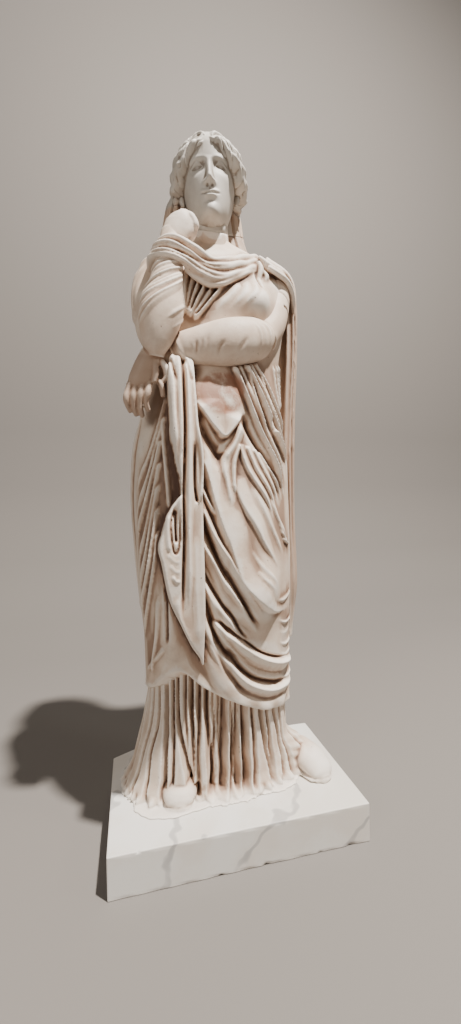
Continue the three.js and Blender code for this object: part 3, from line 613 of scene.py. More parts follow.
def makeArms(bm):
    # the right arm: its elbow rests in front of the left forearm
    soft = folds("crest", [(30, 20), (70, 110), (60, 200)], [(100, 10), (110, 90), (90, 180)], 3, rise=5,
                 wide=(10, 12))
    limb(bm, [(-168, 10, 1480, 46, 52), (-185, -10, 1400, 50, 52), (-180, -64, 1300, 50, 50),
              (-172, -100, 1236, 40, 40)], 90, 90, relief=sleeve(300, soft))
    creases = [
        *folds("crest", [(-70, 46), (-30, 86), (16, 144), (58, 196)],
               [(-66, 176), (-20, 200), (20, 218), (56, 232)], 9, rise=4.6, wide=(4, 9), power=0.9,
               fade=(0.3, 0.2), vary=0.6),
        *folds("crest", [(-88, 110), (-50, 132), (-10, 160)], [(-84, 190), (-44, 208), (-6, 216)], 4,
               rise=3.2, wide=(3, 6), fade=(0.3, 0.4), vary=0.6),
        *folds("crest", [(-60, 204), (-10, 226), (48, 240)], [(-50, 240), (-6, 256), (44, 262)], 3,
               rise=2.8, wide=(4, 6), fade=(0.2, 0.2), vary=0.5),
        *folds("crest", [(10, 74), (40, 112), (70, 140)], [(30, 60), (60, 90), (86, 110)], 2, rise=2.6,
               wide=(6, 6), fade=(0.3, 0.3)),
    ]
    limb(bm, [(-186, -104, 1212, 22, 26), (-182, -116, 1248, 38, 38), (-171, -122, 1312, 53, 42),
              (-158, -116, 1372, 41, 36), (-143, -100, 1470, 31, 28), (-136, -92, 1520, 29, 25)],
         140, 200, relief=sleeve(270, creases))
    # the left arm: upper arm, then the forearm that crosses the waist
    seams = [
        *folds("cut", [(-100, 126), (-60, 108), (0, 96), (60, 98), (100, 110)], rise=4, wide=(3, 5),
               power=0.7),
        *folds("cut", [(-84, 150), (-40, 134), (-14, 138)], rise=5, wide=(4, 4), power=0.7),
        *folds("crest", [(30, 150), (70, 150), (110, 140)], [(30, 200), (70, 206), (110, 200)], 3, rise=3,
               wide=(6, 6)),
    ]
    limb(bm, [(150, 20, 1496, 44, 50), (155, 0, 1430, 44, 50), (128, -42, 1340, 43, 48),
              (92, -74, 1284, 42, 44)], 120, 160, relief=sleeve(300, seams))
    creases = [
        *folds("cut", [(-2, 64), (-22, 76), (-38, 92)], [(-4, 152), (-20, 168), (-42, 176)], 3, rise=2.4,
               wide=(4, 8), power=1.0, fade=(0.4, 0.5), vary=0.7),
        *folds("cut", [(16, 190), (-30, 200)], [(6, 232), (-40, 238)], 4, rise=2, wide=(5, 7), power=1.0,
               fade=(0.4, 0.4), vary=0.6),
        *folds("crest", [(-40, 40), (0, 30), (40, 44)], [(-44, 84), (0, 76), (30, 84)], 4, rise=2,
               wide=(6, 8), power=1.1, fade=(0.4, 0.4), vary=0.5),
        *folds("crest", [(-70, 236), (-20, 256), (40, 262)], [(-70, 256), (-20, 280), (40, 290)], 2, rise=3,
               wide=(7, 7)),
    ]
    limb(bm, [(118, -62, 1296, 16, 20), (98, -76, 1290, 38, 38), (60, -94, 1274, 56, 46),
              (0, -110, 1258, 58, 42), (-100, -98, 1242, 43, 32), (-150, -82, 1230, 36, 27),
              (-196, -96, 1216, 29, 23)], 120, 200, relief=sleeve(300, creases))


def makeRightHand(bm):
    # the closed hand under the chin: the back of the hand, then the curled fingers
    def knuckles(turn, length, angle):
        side = turn * 230
        return (-1.8 * bump(side, 16, 5) * ease((length - 40) / 20)
                - 5 * bump(side, 40, 7) * bump(length, 36, 9)
                - 1.5 * bump(side, 46, 4) * ease((length - 48) / 10))

    limb(bm, [(-137, -92, 1488, 28, 25), (-127, -93, 1514, 36, 27), (-115, -93, 1536, 40, 27),
              (-112, -93, 1553, 34, 25), (-112, -92, 1568, 19, 19), (-116, -92, 1577, 8, 10)], 100, 90,
         relief=knuckles)
    limb(bm, [(-104, -98, 1566, 9, 12), (-92, -100, 1556, 12, 15), (-84, -100, 1540, 12, 15),
              (-88, -98, 1526, 7, 11)], 40, 40)


def makeLeftHand(bm):
    # the left hand hanging past the elbow, fingers apart
    limb(bm, [(-190, -98, 1222, 27, 21), (-206, -104, 1188, 28, 19), (-219, -102, 1156, 29, 16),
              (-226, -99, 1138, 27, 12)], 40, 40, relief=lambda turn, length,
         angle: 0.9 * np.sin(angle * 5))
    for k in range(4):
        x = -201 - k * 15.5
        fold = (6, 0, 3, 9)[k]
        limb(bm, [(x + 3, -104 + k * 2, 1160 - k * 4, 8, 9),
                  (x - 4 - k, -113 + k * 4, 1124 - k * 3, 7.6, 8.5),
                  (x - 8 + k, -108 + k * 4, 1094 - k * 3 + fold, 6.6, 8),
                  (x - 3 + k * 2, -97 + k * 3, 1070 - k * 3 + fold * 2, 5.4, 7)], 20, 40,
             relief=lambda turn, length, angle: 0.7 * np.cos(length / 6.5))
    limb(bm, [(-190, -110, 1196, 9, 10), (-186, -114, 1170, 8, 9), (-190, -112, 1146, 6, 8)], 20, 30)
    # cloth bunched beside the palm
    limb(bm, [(-176, -102, 1206, 8, 9), (-163, -108, 1188, 8, 9), (-160, -106, 1166, 7, 8),
              (-170, -102, 1150, 6, 8)], 18, 30)
    limb(bm, [(-184, -98, 1160, 7, 8), (-172, -104, 1142, 7, 9), (-168, -102, 1116, 6, 7)], 18, 30)


# feet and the thin base left round them

def makeFeet(bm):
    def sole(turn, length, angle):
        return -1.6 * bump(np.abs(turn), 0.33, 0.025)

    limb(bm, [(-140, 0, 130, 42, 32), (-141, -46, 126, 46, 32), (-145, -76, 120, 42, 27),
              (-147, -96, 112, 32, 19), (-148, -108, 106, 14, 9)], 64, 60, facing=(0, 0, 1), blunt=0.25,
         relief=sole)
    limb(bm, [(206, 12, 136, 40, 38), (228, -36, 131, 44, 36), (240, -66, 121, 40, 28),
              (245, -86, 112, 31, 19), (248, -98, 106, 14, 9)], 64, 60, facing=(0, 0, 1), blunt=0.25,
         relief=sole)
    for place, x, reach in ((208, 240, -100), (-141, -147, -110)):  # thin soles
        limb(bm, [(place, 20, 103, 30, 7), (place * 0.5 + x * 0.5, -40, 103, 38, 7), (x, -78, 103, 37, 7),
                  (x + 4, reach + 6, 103, 26, 7), (x + 5, reach - 4, 103, 10, 6)], 40, 50, facing=(0, 0, 1),
             blunt=0.4)


def makePad(bm):
    reach = through([(0, 120), (25, 127), (57, 182), (75, 206), (90, 212), (115, 208), (140, 196),
                     (180, 174), (220, 206), (245, 280), (270, 288), (281, 264), (288, 264), (303, 228),
                     (323, 156), (340, 127), (360, 120)])

    def place(turn, up):
        angle = turn * 2 * np.pi
        rough = 4 * np.sin(turn * 47) + 2 * np.sin(turn * 190 + 1) + 1.4 * np.sin(turn * 410)
        out = (reach(turn * 360) + rough) * (1 - 0.04 * ease(up * 1.6 - 0.6))
        height = 97.3 + 3.4 * ease(up * 1.4) + 0.8 * np.sin(turn * 120) * up
        return np.stack([-6 + out * np.sin(angle), 8 - out * np.cos(angle), height], axis=-1)

    closedSkin(bm, 300, 10, place)


# neck and veil: the same forms end in the head above the seat and in the figure below it

seat = dict(y=-50, z=1566, slope=0.6, gap=0.3)


def makeNeck(bm):
    def tendons(turn, length, angle):
        return 3 * bump(np.abs(turn), 0.09, 0.03) - 2 * bump(turn, 0, 0.04)

    limb(bm, [(-22, 14, 1500, 62, 56), (-22, 8, 1560, 50, 50), (-25, 6, 1640, 49, 53),
              (-25, 10, 1700, 49, 58)], 80, 70, relief=tendons)


def makeVeil(bm):
    outline = dict(
        left=through([(1500, -184), (1563, -163), (1600, -154), (1688, -138), (1720, -124), (1760, -108),
                      (1810, -70)]),
        right=through([(1500, 136), (1540, 114), (1580, 96), (1620, 86), (1679, 80), (1720, 66), (1760, 52),
                       (1810, 18)]),
        front=through([(1500, -16), (1540, -6), (1600, 4), (1690, 16), (1760, 30), (1810, 50)]),
        back=through([(1540, 110), (1690, 119), (1760, 113), (1810, 82)]),
    )
    lines = [-170, -148, -126, -108, -92, -76, -58, -40, 40, 58, 76, 92, 108, 126, 148, 170]
    veilFolds = []
    for k, degrees in enumerate(lines):
        lean = 3 * math.sin(k * 2.3)
        veilFolds += folds("cut", roundRobe([(degrees, 1490), (degrees + lean, 1600),
                                             (degrees * 0.94, 1730)]), rise=16, wide=(9, 13), power=0.7,
                           fade=(0.02, 0.2), vary=0.3)

    def place(turn, up):
        height = 1500 + 310 * up
        degrees = fromFront(turn) * 360
        return onOutline(outline, degrees, height,
                         carve(np.radians(degrees) * foldScale, height, veilFolds))

    closedSkin(bm, 320, 150, place)


# the head: skull and face are a calm type of our own, hair waved back from a middle parting

headSettings = dict(place=(-25, 2, 1716), turn=-11, lean=-2, tall=1.06, chin=-126, top=102)


def makeFace(bm):
    low, top = headSettings["chin"], headSettings["top"]
    half = through([(low, 12), (-120, 28), (-110, 38), (-94, 48), (-76, 55), (-54, 62), (-28, 68), (0, 71),
                    (24, 72), (50, 70), (74, 60), (92, 40), (top, 8)])
    ahead = through([(low, 74), (-121, 85), (-112, 90), (-98, 90), (-60, 92), (-8, 93), (20, 96), (42, 96),
                     (62, 90), (82, 74), (95, 48), (top, 12)])
    behind = through([(low, -30), (-96, -20), (-70, 36), (-20, 86), (30, 96), (70, 78), (top, 12)])
    noseRise = through([(-61, 0), (-57, 5), (-53, 15), (-47, 20), (-36, 15.5), (-20, 9), (-4, 4), (6, 1),
                        (12, 0)])
    noseHalf = through([(-60, 10), (-50, 10), (-40, 8), (-24, 6.5), (0, 7), (12, 9)])

    def features(side, z):
        # how far the calm, regular features stand out (+) or in (-)
        bridge = noseRise(z) * np.exp(-(side / noseHalf(z)) ** 2.4)
        wing = 6.5 * bump(side, 12, 4.6) * bump(z, -52, 6)
        nostril = -5 * bump(side, 6.5, 3) * bump(z, -58.5, 2.6)
        across = (side - 31) / 17
        arch = clamp(1 - across**2)
        socket = -9 * np.exp(-(np.abs(across) ** 3)) * bump(z, -9, 12)
        socket = socket - 4 * bump(side, 17, 7) * bump(z, -4, 9)
        brow = 3.4 * bump(z, 8 - 0.006 * (side - 30) ** 2, 5.5) * bump(side, 30, 22)
        ball = 0.72 * np.sqrt(clamp(15.5**2 - (side - 31) ** 2 - ((z + 9) * 1.15) ** 2, 0))
        upper = 2.6 * bump(z, -9 + 8.5 * arch, 2.0) * (arch > 0) * ease(arch * 3)
        crease = -1.6 * bump(z, -9 + 13.5 * arch, 1.7) * ease(arch * 3)
        lower = 1.6 * bump(z, -9 - 6.5 * arch, 1.8) * ease(arch * 3)
        bow = -76.5 + 0.006 * side**2
        groove = -1.5 * bump(side, 0, 3) * bump(z, -67, 5)
        lipUp = 4.2 * np.exp(-(side / 21) ** 4) * bump(z, bow + 4.6 - 0.9 * bump(side, 0, 3), 3.4)
        line = -4.2 * np.exp(-(side / 23) ** 6) * bump(z, bow, 1.5)
        lipLow = 5 * np.exp(-(side / 16) ** 4) * bump(z, bow - 6, 3.9)
        under = -2 * bump(side, 0, 13) * bump(z, -93, 4)
        chin = 4.5 * bump(side, 0, 17) * bump(z, -108, 11)
        muzzle = 3 * bump(side, 0, 22) * bump(z, -78, 12)
        cheek = 2.5 * bump(side, 46, 14) * bump(z, -36, 18)
        temple = -3 * bump(side, 62, 10) * bump(z, 16, 20)
        return (bridge + wing + nostril + socket + brow + ball + upper + crease + lower + groove + lipUp
                + line + lipLow + under + chin + muzzle + cheek + temple)

    def place(turn, up):
        height = low + (top - low) * (0.6 * up + 0.4 * ease(up))
        even = fromFront(turn)
        angle = (even - 0.11 * np.sin(even * 2 * np.pi)) * 2 * np.pi
        x = signedPower(np.sin(angle), 0.94) * half(height)
        forward = signedPower(np.cos(angle), 0.86)
        y = np.where(forward > 0, -forward * ahead(height), -forward * behind(height))
        y = y - features(np.abs(x), height) * (forward > 0) * ease(forward * 4)
        return np.stack([x, y, height], axis=-1)

    closedSkin(bm, 420, 300, place)
    for side in (-1, 1):  # lobes of the ears, and the hollow before them
        limb(bm, [(side * 70, 0, -22, 7, 10), (side * 75, -6, -36, 7, 9), (side * 73, -8, -46, 6, 7),
                  (side * 70, -8, -52, 3, 4)], 24, 30)


def makeHair(bm):
    # waved back from a middle parting; the hairline is given by degrees from the front
    hairline = through([(0, 44), (8, 38), (16, 30), (26, 19), (38, 3), (48, -12), (58, -24), (66, -31),
                        (84, -35), (110, -42), (180, -58)])
    wide, tall = 104, 103

    def place(turn, up):
        even = fromFront(turn)
        degrees = np.abs(even) * 360
        angle = (-0.3 + 0.8 * up) * np.pi
        start = np.arcsin(clamp((hairline(degrees) - 4) / tall, -1, 1))
        above = (angle - start) * 110 + 3.5 * np.abs(np.sin(np.radians(degrees) * 11)) - 1.5
        along = np.radians(degrees) * 100
        swing = 6 * np.sin(along / 9 + 0.5 * np.sign(even)) + 2.5 * np.sin(along / 5.5 + above / 30)
        oblique = 0.72 * above + 0.6 * along + 6 * np.sign(even)
        lock = np.abs(np.sin(np.pi * (oblique + swing) / 19)) ** 0.6
        scallop = np.abs(np.sin(along / 7.5 + 0.8 * np.sign(even))) ** 0.7
        strand = np.abs(np.sin(np.pi * (oblique + swing * 1.3) / 6.6)) ** 0.8
        crown = ease((np.pi / 2 - angle) / 0.7)
        relief = (8 * lock + 2 * strand - 8 + 2.4 * np.sin(along / 7.5 - above / 6 + 0.7 * np.sign(even))
                  + 3.5 * scallop * bump(above, 14, 16))
        x = np.sin(even * 2 * np.pi) * np.cos(angle) * wide
        parting = 9 * bump(x, 0, 5) * ease((angle - 0.4) / 0.2)
        lift = (relief * crown - parting) * ease((above + 6) / 5)
        roll = np.sqrt(1 - (1 - clamp((above + 6) / 26)) ** 2)
        size = 0.63 + 0.37 * roll + lift / 105
        deep = np.where(np.abs(even) < 0.25, 114, 104)
        y = -np.cos(even * 2 * np.pi) * np.cos(angle) * deep
        return np.stack([x * size, 6 + y * size, 4 + np.sin(angle) * tall * size], axis=-1)

    closedSkin(bm, 520, 240, place)
    for side in (-1, 1):
        for k in range(3):  # short raised curls beside the parting
            sway = 3 * math.sin(k * 2.6 + side)
            limb(bm, [
                (side * (7 + k * 18), -84 + k * 6, 56 - k * 5, 8, 9),
                (side * (12 + k * 19) + sway, -78 + k * 8, 67 - k * 6, 11, 11),
                (side * (24 + k * 18), -70 + k * 9, 70 - k * 8, 11, 11),
                (side * (37 + k * 17), -64 + k * 10, 66 - k * 9 + sway, 8, 8),
                (side * (44 + k * 16), -62 + k * 11, 60 - k * 9, 4, 5),
            ], 24, 50, relief=lambda turn, length, angle: 1.3 * np.sin(angle * 4 + length / 9))


# turning the joined forms into one carved surface

def meshTo(piece, mesh):
    old = piece.data
    piece.data = mesh
    bpy.data.meshes.remove(old)


def withModifiers(piece):
    whole = piece.evaluated_get(bpy.context.evaluated_depsgraph_get())
    made = bpy.data.meshes.new_from_object(whole)
    piece.modifiers.clear()
    meshTo(piece, made)


def neighbours(mesh):
    ends = np.empty(len(mesh.edges) * 2, int)
    mesh.edges.foreach_get("vertices", ends)
    ends = ends.reshape(-1, 2)
    count = np.bincount(ends.ravel(), minlength=len(mesh.vertices)).astype(float)
    return ends, np.maximum(count, 1)


def blurred(values, ends, count, times):
    for _ in range(times):
        total = np.zeros_like(values)
        for c in range(values.shape[1]):
            total[:, c] = np.bincount(ends[:, 0], values[ends[:, 1], c], len(values))
            total[:, c] += np.bincount(ends[:, 1], values[ends[:, 0], c], len(values))
        values = 0.5 * values + 0.5 * total / count[:, None]
    return values


def markHollows(piece):
    # how far each place lies below its surroundings, narrow and wide, for dirt, painted shade in hollows,
    # and wear
    mesh = piece.data
    spots = vectors(mesh.vertices, "co")
    normals = vectors(mesh.vertices, "normal")
    ends, count = neighbours(mesh)
    smooth = spots
    for name, times in (("narrow", 8), ("broad", 60)):
        smooth = blurred(smooth, ends, count, times)
        depth = ((smooth - spots) * normals).sum(axis=1) / mm
        depth = blurred(depth[:, None], ends, count, 2)[:, 0]
        mark = mesh.attributes.new(name, "FLOAT", "POINT")
        mark.data.foreach_set("value", depth.astype(np.float32))


def carvedPiece(name, makers, settings, node):
    bm = bmesh.new()
    for make in makers:
        make(bm)
    rough = bpy.data.meshes.new(name)
    bm.to_mesh(rough)
    bm.free()
    piece = linked(name, rough)
    if "turn" in settings:  # the head is made about its own middle
        turned = Matrix.Translation(Vector(settings["place"]) * mm)
        turned @= Matrix.Rotation(math.radians(settings["turn"]), 4, "Z")
        turned @= Matrix.Rotation(math.radians(settings["lean"]), 4, "Y")
        turned @= Matrix.Diagonal((1, 1, settings["tall"], 1))
        rough.transform(turned)
    for extra in settings.get("also", []):
        more = bmesh.new()
        more.from_mesh(piece.data)
        extra(more)
        more.to_mesh(piece.data)
        more.free()
    remesh = piece.modifiers.new("one skin", "REMESH")
    remesh.mode = "VOXEL"
    remesh.voxel_size = settings["voxel"] * mm
    remesh.use_smooth_shade = True
    soften = piece.modifiers.new("worn edges", "SMOOTH")
    soften.factor = 0.5
    soften.iterations = settings["passes"]
    withModifiers(piece)
    faces = len(piece.data.polygons)
    if "floor" in settings:  # flat underneath, where it stands on the slab
        spots = vectors(piece.data.vertices, "co")
        spots[:, 2] = np.maximum(spots[:, 2], settings["floor"] * mm)
        piece.data.vertices.foreach_set("co", spots.ravel())
    if "keep" in settings:
        cutAtSeat(piece, settings["keep"])
    if faces * 2 > settings["most"]:
        less = piece.modifiers.new("fewer faces", "DECIMATE")
        less.ratio = settings["most"] / (faces * 2)
        withModifiers(piece)
    markHollows(piece)
    piece.data.shade_smooth()
    print(name, "joined faces", faces, "kept triangles",
          sum(len(p.vertices) - 2 for p in piece.data.polygons))
    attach(piece, "root")
    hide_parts(node)
    return piece


def cutAtSeat(piece, side):
    # keeps what lies above or below the seat of the head, and closes the cut
    bm = bmesh.new()
    bm.from_mesh(piece.data)
    normal = Vector((0, -seat["slope"], 1)).normalized()
    shift = seat["gap"] if side == "above" else 0
    place = (Vector((0, seat["y"], seat["z"])) + normal * shift) * mm
    everything = bm.verts[:] + bm.edges[:] + bm.faces[:]
    bmesh.ops.bisect_plane(bm, geom=everything, plane_co=place, plane_no=normal,
                           clear_inner=side == "above", clear_outer=side == "below")
    closeHoles(bm)
    bmesh.ops.triangulate(bm, faces=[f for f in bm.faces if len(f.verts) > 4])
    bm.to_mesh(piece.data)
    bm.free()


# materials

class Wire:
    # a socket that can be used in sums
    def __init__(self, sheet, socket):
        self.sheet = sheet
        self.socket = socket

    def sum(self, operation, other, swap=False):
        pair = [other, self] if swap else [self, other]
        return self.sheet.node("ShaderNodeMath", dict(operation=operation), {0: pair[0], 1: pair[1]})

    def __add__(self, other):
        return self.sum("ADD", other)

    def __radd__(self, other):
        return self.sum("ADD", other, True)

    def __rsub__(self, other):
        return self.sum("SUBTRACT", other, True)

    def __mul__(self, other):
        return self.sum("MULTIPLY", other)

    def __rmul__(self, other):
        return self.sum("MULTIPLY", other, True)

    def most(self, other):
        return self.sum("MAXIMUM", other)

    def least(self, other):
        return self.sum("MINIMUM", other)

    def between(self, low, high):
        # 0 below low, 1 above high, smooth between
        return self.sheet.node("ShaderNodeMapRange", dict(interpolation_type="SMOOTHSTEP"),
                               {"Value": self, "From Min": low, "From Max": high})


class Sheet:
    # the node tree of one material
    def __init__(self, name):
        self.material = bpy.data.materials.new(name)
        self.material.use_nodes = True
        self.tree = self.material.node_tree
        self.shader = self.tree.nodes["Principled BSDF"]

    def node(self, kind, settings=None, inputs=None, out=0):
        made = self.tree.nodes.new(kind)
        for key, value in (settings or {}).items():
            setattr(made, key, value)
        for key, value in (inputs or {}).items():
            self.feed(made.inputs[key], value)
        return Wire(self, made.outputs[out])

    def feed(self, socket, value):
        if isinstance(value, Wire):
            self.tree.links.new(value.socket, socket)
        elif hasattr(value, "__len__") and len(value) == 3 and len(socket.default_value) == 4:
            socket.default_value = (*value, 1)
        else:
            socket.default_value = value

    def mix(self, share, a, b):
        made = self.tree.nodes.new("ShaderNodeMix")
        made.data_type = "RGBA"
        made.clamp_factor = True
        sockets = {socket.identifier: socket for socket in made.inputs}
        self.feed(sockets["Factor_Float"], share)
        self.feed(sockets["A_Color"], a)
        self.feed(sockets["B_Color"], b)
        return Wire(self, [o for o in made.outputs if o.identifier == "Result_Color"][0])

    def place(self):
        return self.node("ShaderNodeTexCoord", out=3)

    def along(self, spot, axis):
        return self.node("ShaderNodeSeparateXYZ", inputs={0: spot}, out=axis)

    def noise(self, spot, size, detail=4, rough=0.55, warp=0.0):
        # size is in millimetres
        return self.node("ShaderNodeTexNoise",
                         inputs={"Vector": spot, "Scale": 1000 / size, "Detail": detail, "Roughness": rough,
                                 "Distortion": warp})

    def mark(self, name):
        return self.node("ShaderNodeAttribute", dict(attribute_name=name), out=2)

    def near(self, middle, radius):
        # 1 at a place given in millimetres, 0 beyond the radius of each axis
        spot = self.place()
        off = self.node("ShaderNodeVectorMath", dict(operation="SUBTRACT"),
                        {0: spot, 1: [m * mm for m in middle]})
        sized = self.node("ShaderNodeVectorMath", dict(operation="DIVIDE"),
                          {0: off, 1: [r * mm for r in radius]})
        far = self.node("ShaderNodeVectorMath", dict(operation="LENGTH"), {0: sized}, out=1)
        return 1 - far.between(0.35, 1.0)

    def finish(self, colour, roughness, height, strength, depth):
        bumps = self.node("ShaderNodeBump", inputs={"Height": height, "Strength": strength,
                                                    "Distance": depth})
        self.feed(self.shader.inputs["Base Color"], colour)
        self.feed(self.shader.inputs["Roughness"], roughness)
        self.feed(self.shader.inputs["Normal"], bumps)
        return self.material


def figureMarble():
    # pink serves for dirt and painted shade, deep for painted shade in the deepest creases and for small
    # dark specks
    look = dict(clean=(0.57, 0.43, 0.33), pale=(0.72, 0.595, 0.485), pink=(0.35, 0.228, 0.158),
                deep=(0.09, 0.042, 0.024), rust=(0.27, 0.115, 0.062), white=(0.80, 0.74, 0.67),
                shade=(0.47, 0.355, 0.28))
    s = Sheet("weathered cream marble")
    spot = s.place()
    narrow, broad = s.mark("narrow"), s.mark("broad")
    clouds = s.noise(spot, 170, 5, 0.6)
    blotch = s.noise(spot, 46, 6, 0.65, 0.4)
    grain = s.noise(spot, 5, 5, 0.7)
    colour = s.mix((clouds + blotch * 0.5).between(0.55, 0.95), look["clean"], look["pale"])
    colour = s.mix(s.noise(spot, 90, 6, 0.7, 0.6).between(0.5, 0.72) * 0.5, colour, look["shade"])
    # brownish pink in the hollows: partly dirt, partly painted shade
    dirtAndShade = (broad.between(-0.6, 3.0) * 0.8 + narrow.between(-0.02, 0.4) * 0.6) * (blotch * 0.9 + 0.55)
    colour = s.mix(dirtAndShade.least(1.0), colour, look["pink"])
    # near black in the narrow creases of wide hollows: painted shade
    colour = s.mix(narrow.between(0.1, 0.9) * broad.between(0.2, 4.0), colour, look["deep"])
    worn = (0 - narrow).between(0.06, 0.6) * (0.4 + blotch)
    colour = s.mix(worn * 0.7, colour, look["white"])
    belly = s.near((-26, -130, 1130), (78, 90, 76)).between(0.05, 0.5)
    belly = belly * s.noise(spot, 60, 5, 0.65, 0.5).between(0.25, 0.55)
    colour = s.mix(belly * 0.9, colour, look["rust"])
    # a brown tone at the left hand, on the side fall and behind the neck: the veil's own colour behind the
    # neck, patina and painted shade on the side fall, painted shade round the left hand
    brown = s.near((-214, -100, 1130), (70, 90, 110)).most(s.near((222, 20, 1000), (56, 60, 620)))
    brown = brown.most(s.near((-30, 110, 1590), (230, 150, 150)))
    brown = brown.between(0.0, 0.4) * (0.45 + 0.6 * clouds)
    colour = s.mix(brown, colour, look["pink"])
    clean = s.near((86, -160, 575), (46, 70, 42)).most(s.near((150, -110, 440), (30, 90, 150)) * 0.6)
    clean = clean.most(s.near((-60, -170, 385), (60, 80, 34)) * 0.8)
    clean = clean.most(s.near((-112, -110, 1548), (62, 70, 64)) * 0.5)
    clean = clean.most(s.near((245, -60, 120), (74, 80, 62)))
    clean = clean.most(s.near((-146, -80, 114), (54, 50, 44)) * 0.8)
    clean = clean.most(1 - s.along(spot, 2).between(0.1, 0.118))  # the thin base
    colour = s.mix(clean * 0.8, colour, look["white"])
    spots = s.noise(spot, 9, 2, 0.5).between(0.70, 0.76) * s.noise(spot, 60, 2).between(0.45, 0.6)
    colour = s.mix(spots * 0.7, colour, look["deep"])
    height = grain * 0.5 + s.noise(spot, 22, 4, 0.6) * 0.8 + s.noise(spot, 2.2, 2) * 0.12
    return s.finish(colour, 0.54 + grain * 0.16 + dirtAndShade.least(1.0) * 0.1, height, 0.4, 0.0018)


def headMarble():
    look = dict(clean=(0.46, 0.42, 0.37), pale=(0.57, 0.525, 0.47), grey=(0.24, 0.195, 0.155),
                veil=(0.52, 0.38, 0.28), veilDeep=(0.14, 0.07, 0.045))
    s = Sheet("greyish white marble")
    spot = s.place()
    narrow, broad = s.mark("narrow"), s.mark("broad")
    clouds = s.noise(spot, 60, 5, 0.6)
    grain = s.noise(spot, 4, 5, 0.7)
    colour = s.mix(clouds.between(0.35, 0.7), look["clean"], look["pale"])
    # grey in the hollows of face and hair: partly dirt, partly painted shade
    dirtAndShade = narrow.between(0.0, 0.4) * 0.7 + broad.between(0.1, 2.5) * 0.5
    colour = s.mix(dirtAndShade.least(0.95), colour, look["grey"])
    behind = s.along(spot, 1).between(0.008, 0.026)
    under = 1 - s.along(spot, 2).between(1.668, 1.684)
    # the veil darker brown in its fold hollows: partly dirt, partly painted shade
    veil = s.mix(dirtAndShade.least(1.0), look["veil"], look["veilDeep"])
    colour = s.mix(behind * under, colour, veil)
    height = grain * 0.4 + s.noise(spot, 14, 4, 0.6) * 0.5
    return s.finish(colour, 0.5 + grain * 0.14, height, 0.25, 0.001)


def slabMarble():
    look = dict(white=(0.71, 0.68, 0.64), warm=(0.66, 0.61, 0.55), vein=(0.27, 0.26, 0.26),
                stain=(0.50, 0.40, 0.32))
    s = Sheet("white veined marble")
    spot = s.place()
    clouds = s.noise(spot, 190, 5, 0.6, 0.3)
    grain = s.noise(spot, 4, 5, 0.7)
    colour = s.mix(clouds.between(0.4, 0.65), look["white"], look["warm"])
    bent = s.node("ShaderNodeMapping", inputs={"Vector": spot, "Rotation": (0.0, math.radians(-38), 0.3)})
    band = s.node("ShaderNodeTexWave", dict(wave_type="BANDS", bands_direction="X"),
                  {"Vector": bent, "Scale": 1.7, "Distortion": 7.0, "Detail": 4.0, "Detail Scale": 1.6,
                   "Detail Roughness": 0.6})
    vein = band.between(0.962, 1.0)
    colour = s.mix(vein * s.noise(spot, 120, 3).between(0.3, 0.6) * 0.6, colour, look["vein"])
    speck = s.noise(spot, 11, 2, 0.5).between(0.7, 0.76) * s.noise(spot, 90, 2).between(0.5, 0.62)
    colour = s.mix(speck * 0.45, colour, look["stain"])
    return s.finish(colour, 0.42 + grain * 0.18, grain * 0.5 + clouds * 0.3, 0.2, 0.001)


# the slab

slabSettings = dict(width=634, depth=396, height=97, cornerAcross=70, cornerBack=36, step=6.0,
                    chips=[(-66, 0, 5), (46, 0, 8), (182, 0, 6), (266, 0, 9), (-250, 1, 5), (150, 1, 4)])


def makeSlab():
    w, d, h = (slabSettings[k] * mm for k in ("width", "depth", "height"))
    bm = bmesh.new()
    bmesh.ops.create_cube(bm, size=1)
    bmesh.ops.scale(bm, vec=(w, d, h), verts=bm.verts)
    bmesh.ops.translate(bm, vec=(0, 0, h / 2), verts=bm.verts)
    across, back = slabSettings["cornerAcross"] * mm, slabSettings["cornerBack"] * mm
    outward = Vector((-back, across, 0)).normalized()
    corner = (-w / 2 + across * 0.48, d / 2 - back * 0.48, 0)
    bmesh.ops.bisect_plane(bm, geom=bm.verts[:] + bm.edges[:] + bm.faces[:], plane_co=corner,
                           plane_no=outward, clear_outer=True)
    closeHoles(bm)
    bmesh.ops.bevel(bm, geom=bm.edges[:], offset=2.2 * mm, segments=2, profile=0.5, affect="EDGES",
                    material=-1)
    slab = bpy.data.meshes.new("slab")
    bmesh.ops.triangulate(bm, faces=bm.faces)
    for _ in range(7):
        long = [e for e in bm.edges if e.calc_length() > slabSettings["step"] * 1.6 * mm]
        if not long:
            break
        bmesh.ops.subdivide_edges(bm, edges=long, cuts=1)
        bmesh.ops.triangulate(bm, faces=[f for f in bm.faces if len(f.verts) > 3])
    bm.to_mesh(slab)
    bm.free()
    spots = vectors(slab.vertices, "co") / mm
    x, y, z = spots.T
    half, high = slabSettings["depth"] / 2, slabSettings["height"]
    inward = np.array([0, 0, high / 2]) - spots
    inward /= np.linalg.norm(inward, axis=1)[:, None]
    wear = 0.5 + 0.5 * np.sin(x * 0.09 + 3 * np.sin(y * 0.05) + z * 0.13)
    rim = 9  # how far the wear reaches from the edges
    edge = ease(1 - (half - np.abs(y)) / rim) * ease(1 - np.minimum(z, high - z) / rim)
    shift = (edge * 1.2 * wear)[:, None] * inward
    for chipX, atTop, size in slabSettings["chips"]:
        level = high if atTop else 0
        near = np.exp(-(((x - chipX) / size) ** 2) - ((y + half) / (size * 0.8)) ** 2
                      - ((z - level) / (size * 0.7)) ** 2)
        ragged = 1 + 0.4 * np.sin(x * 1.1 + chipX)
        shift += (near * size * 0.42 * ragged)[:, None] * np.array([0, 1, -0.35 if atTop else 0.35])
    slab.vertices.foreach_set("co", ((spots + shift) * mm).ravel())
    piece = linked("slab_carved", slab)
    markHollows(piece)
    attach(piece, "root")
    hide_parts("plinth")
    print("slab faces", len(slab.polygons))
    return piece


# camera, floor and light

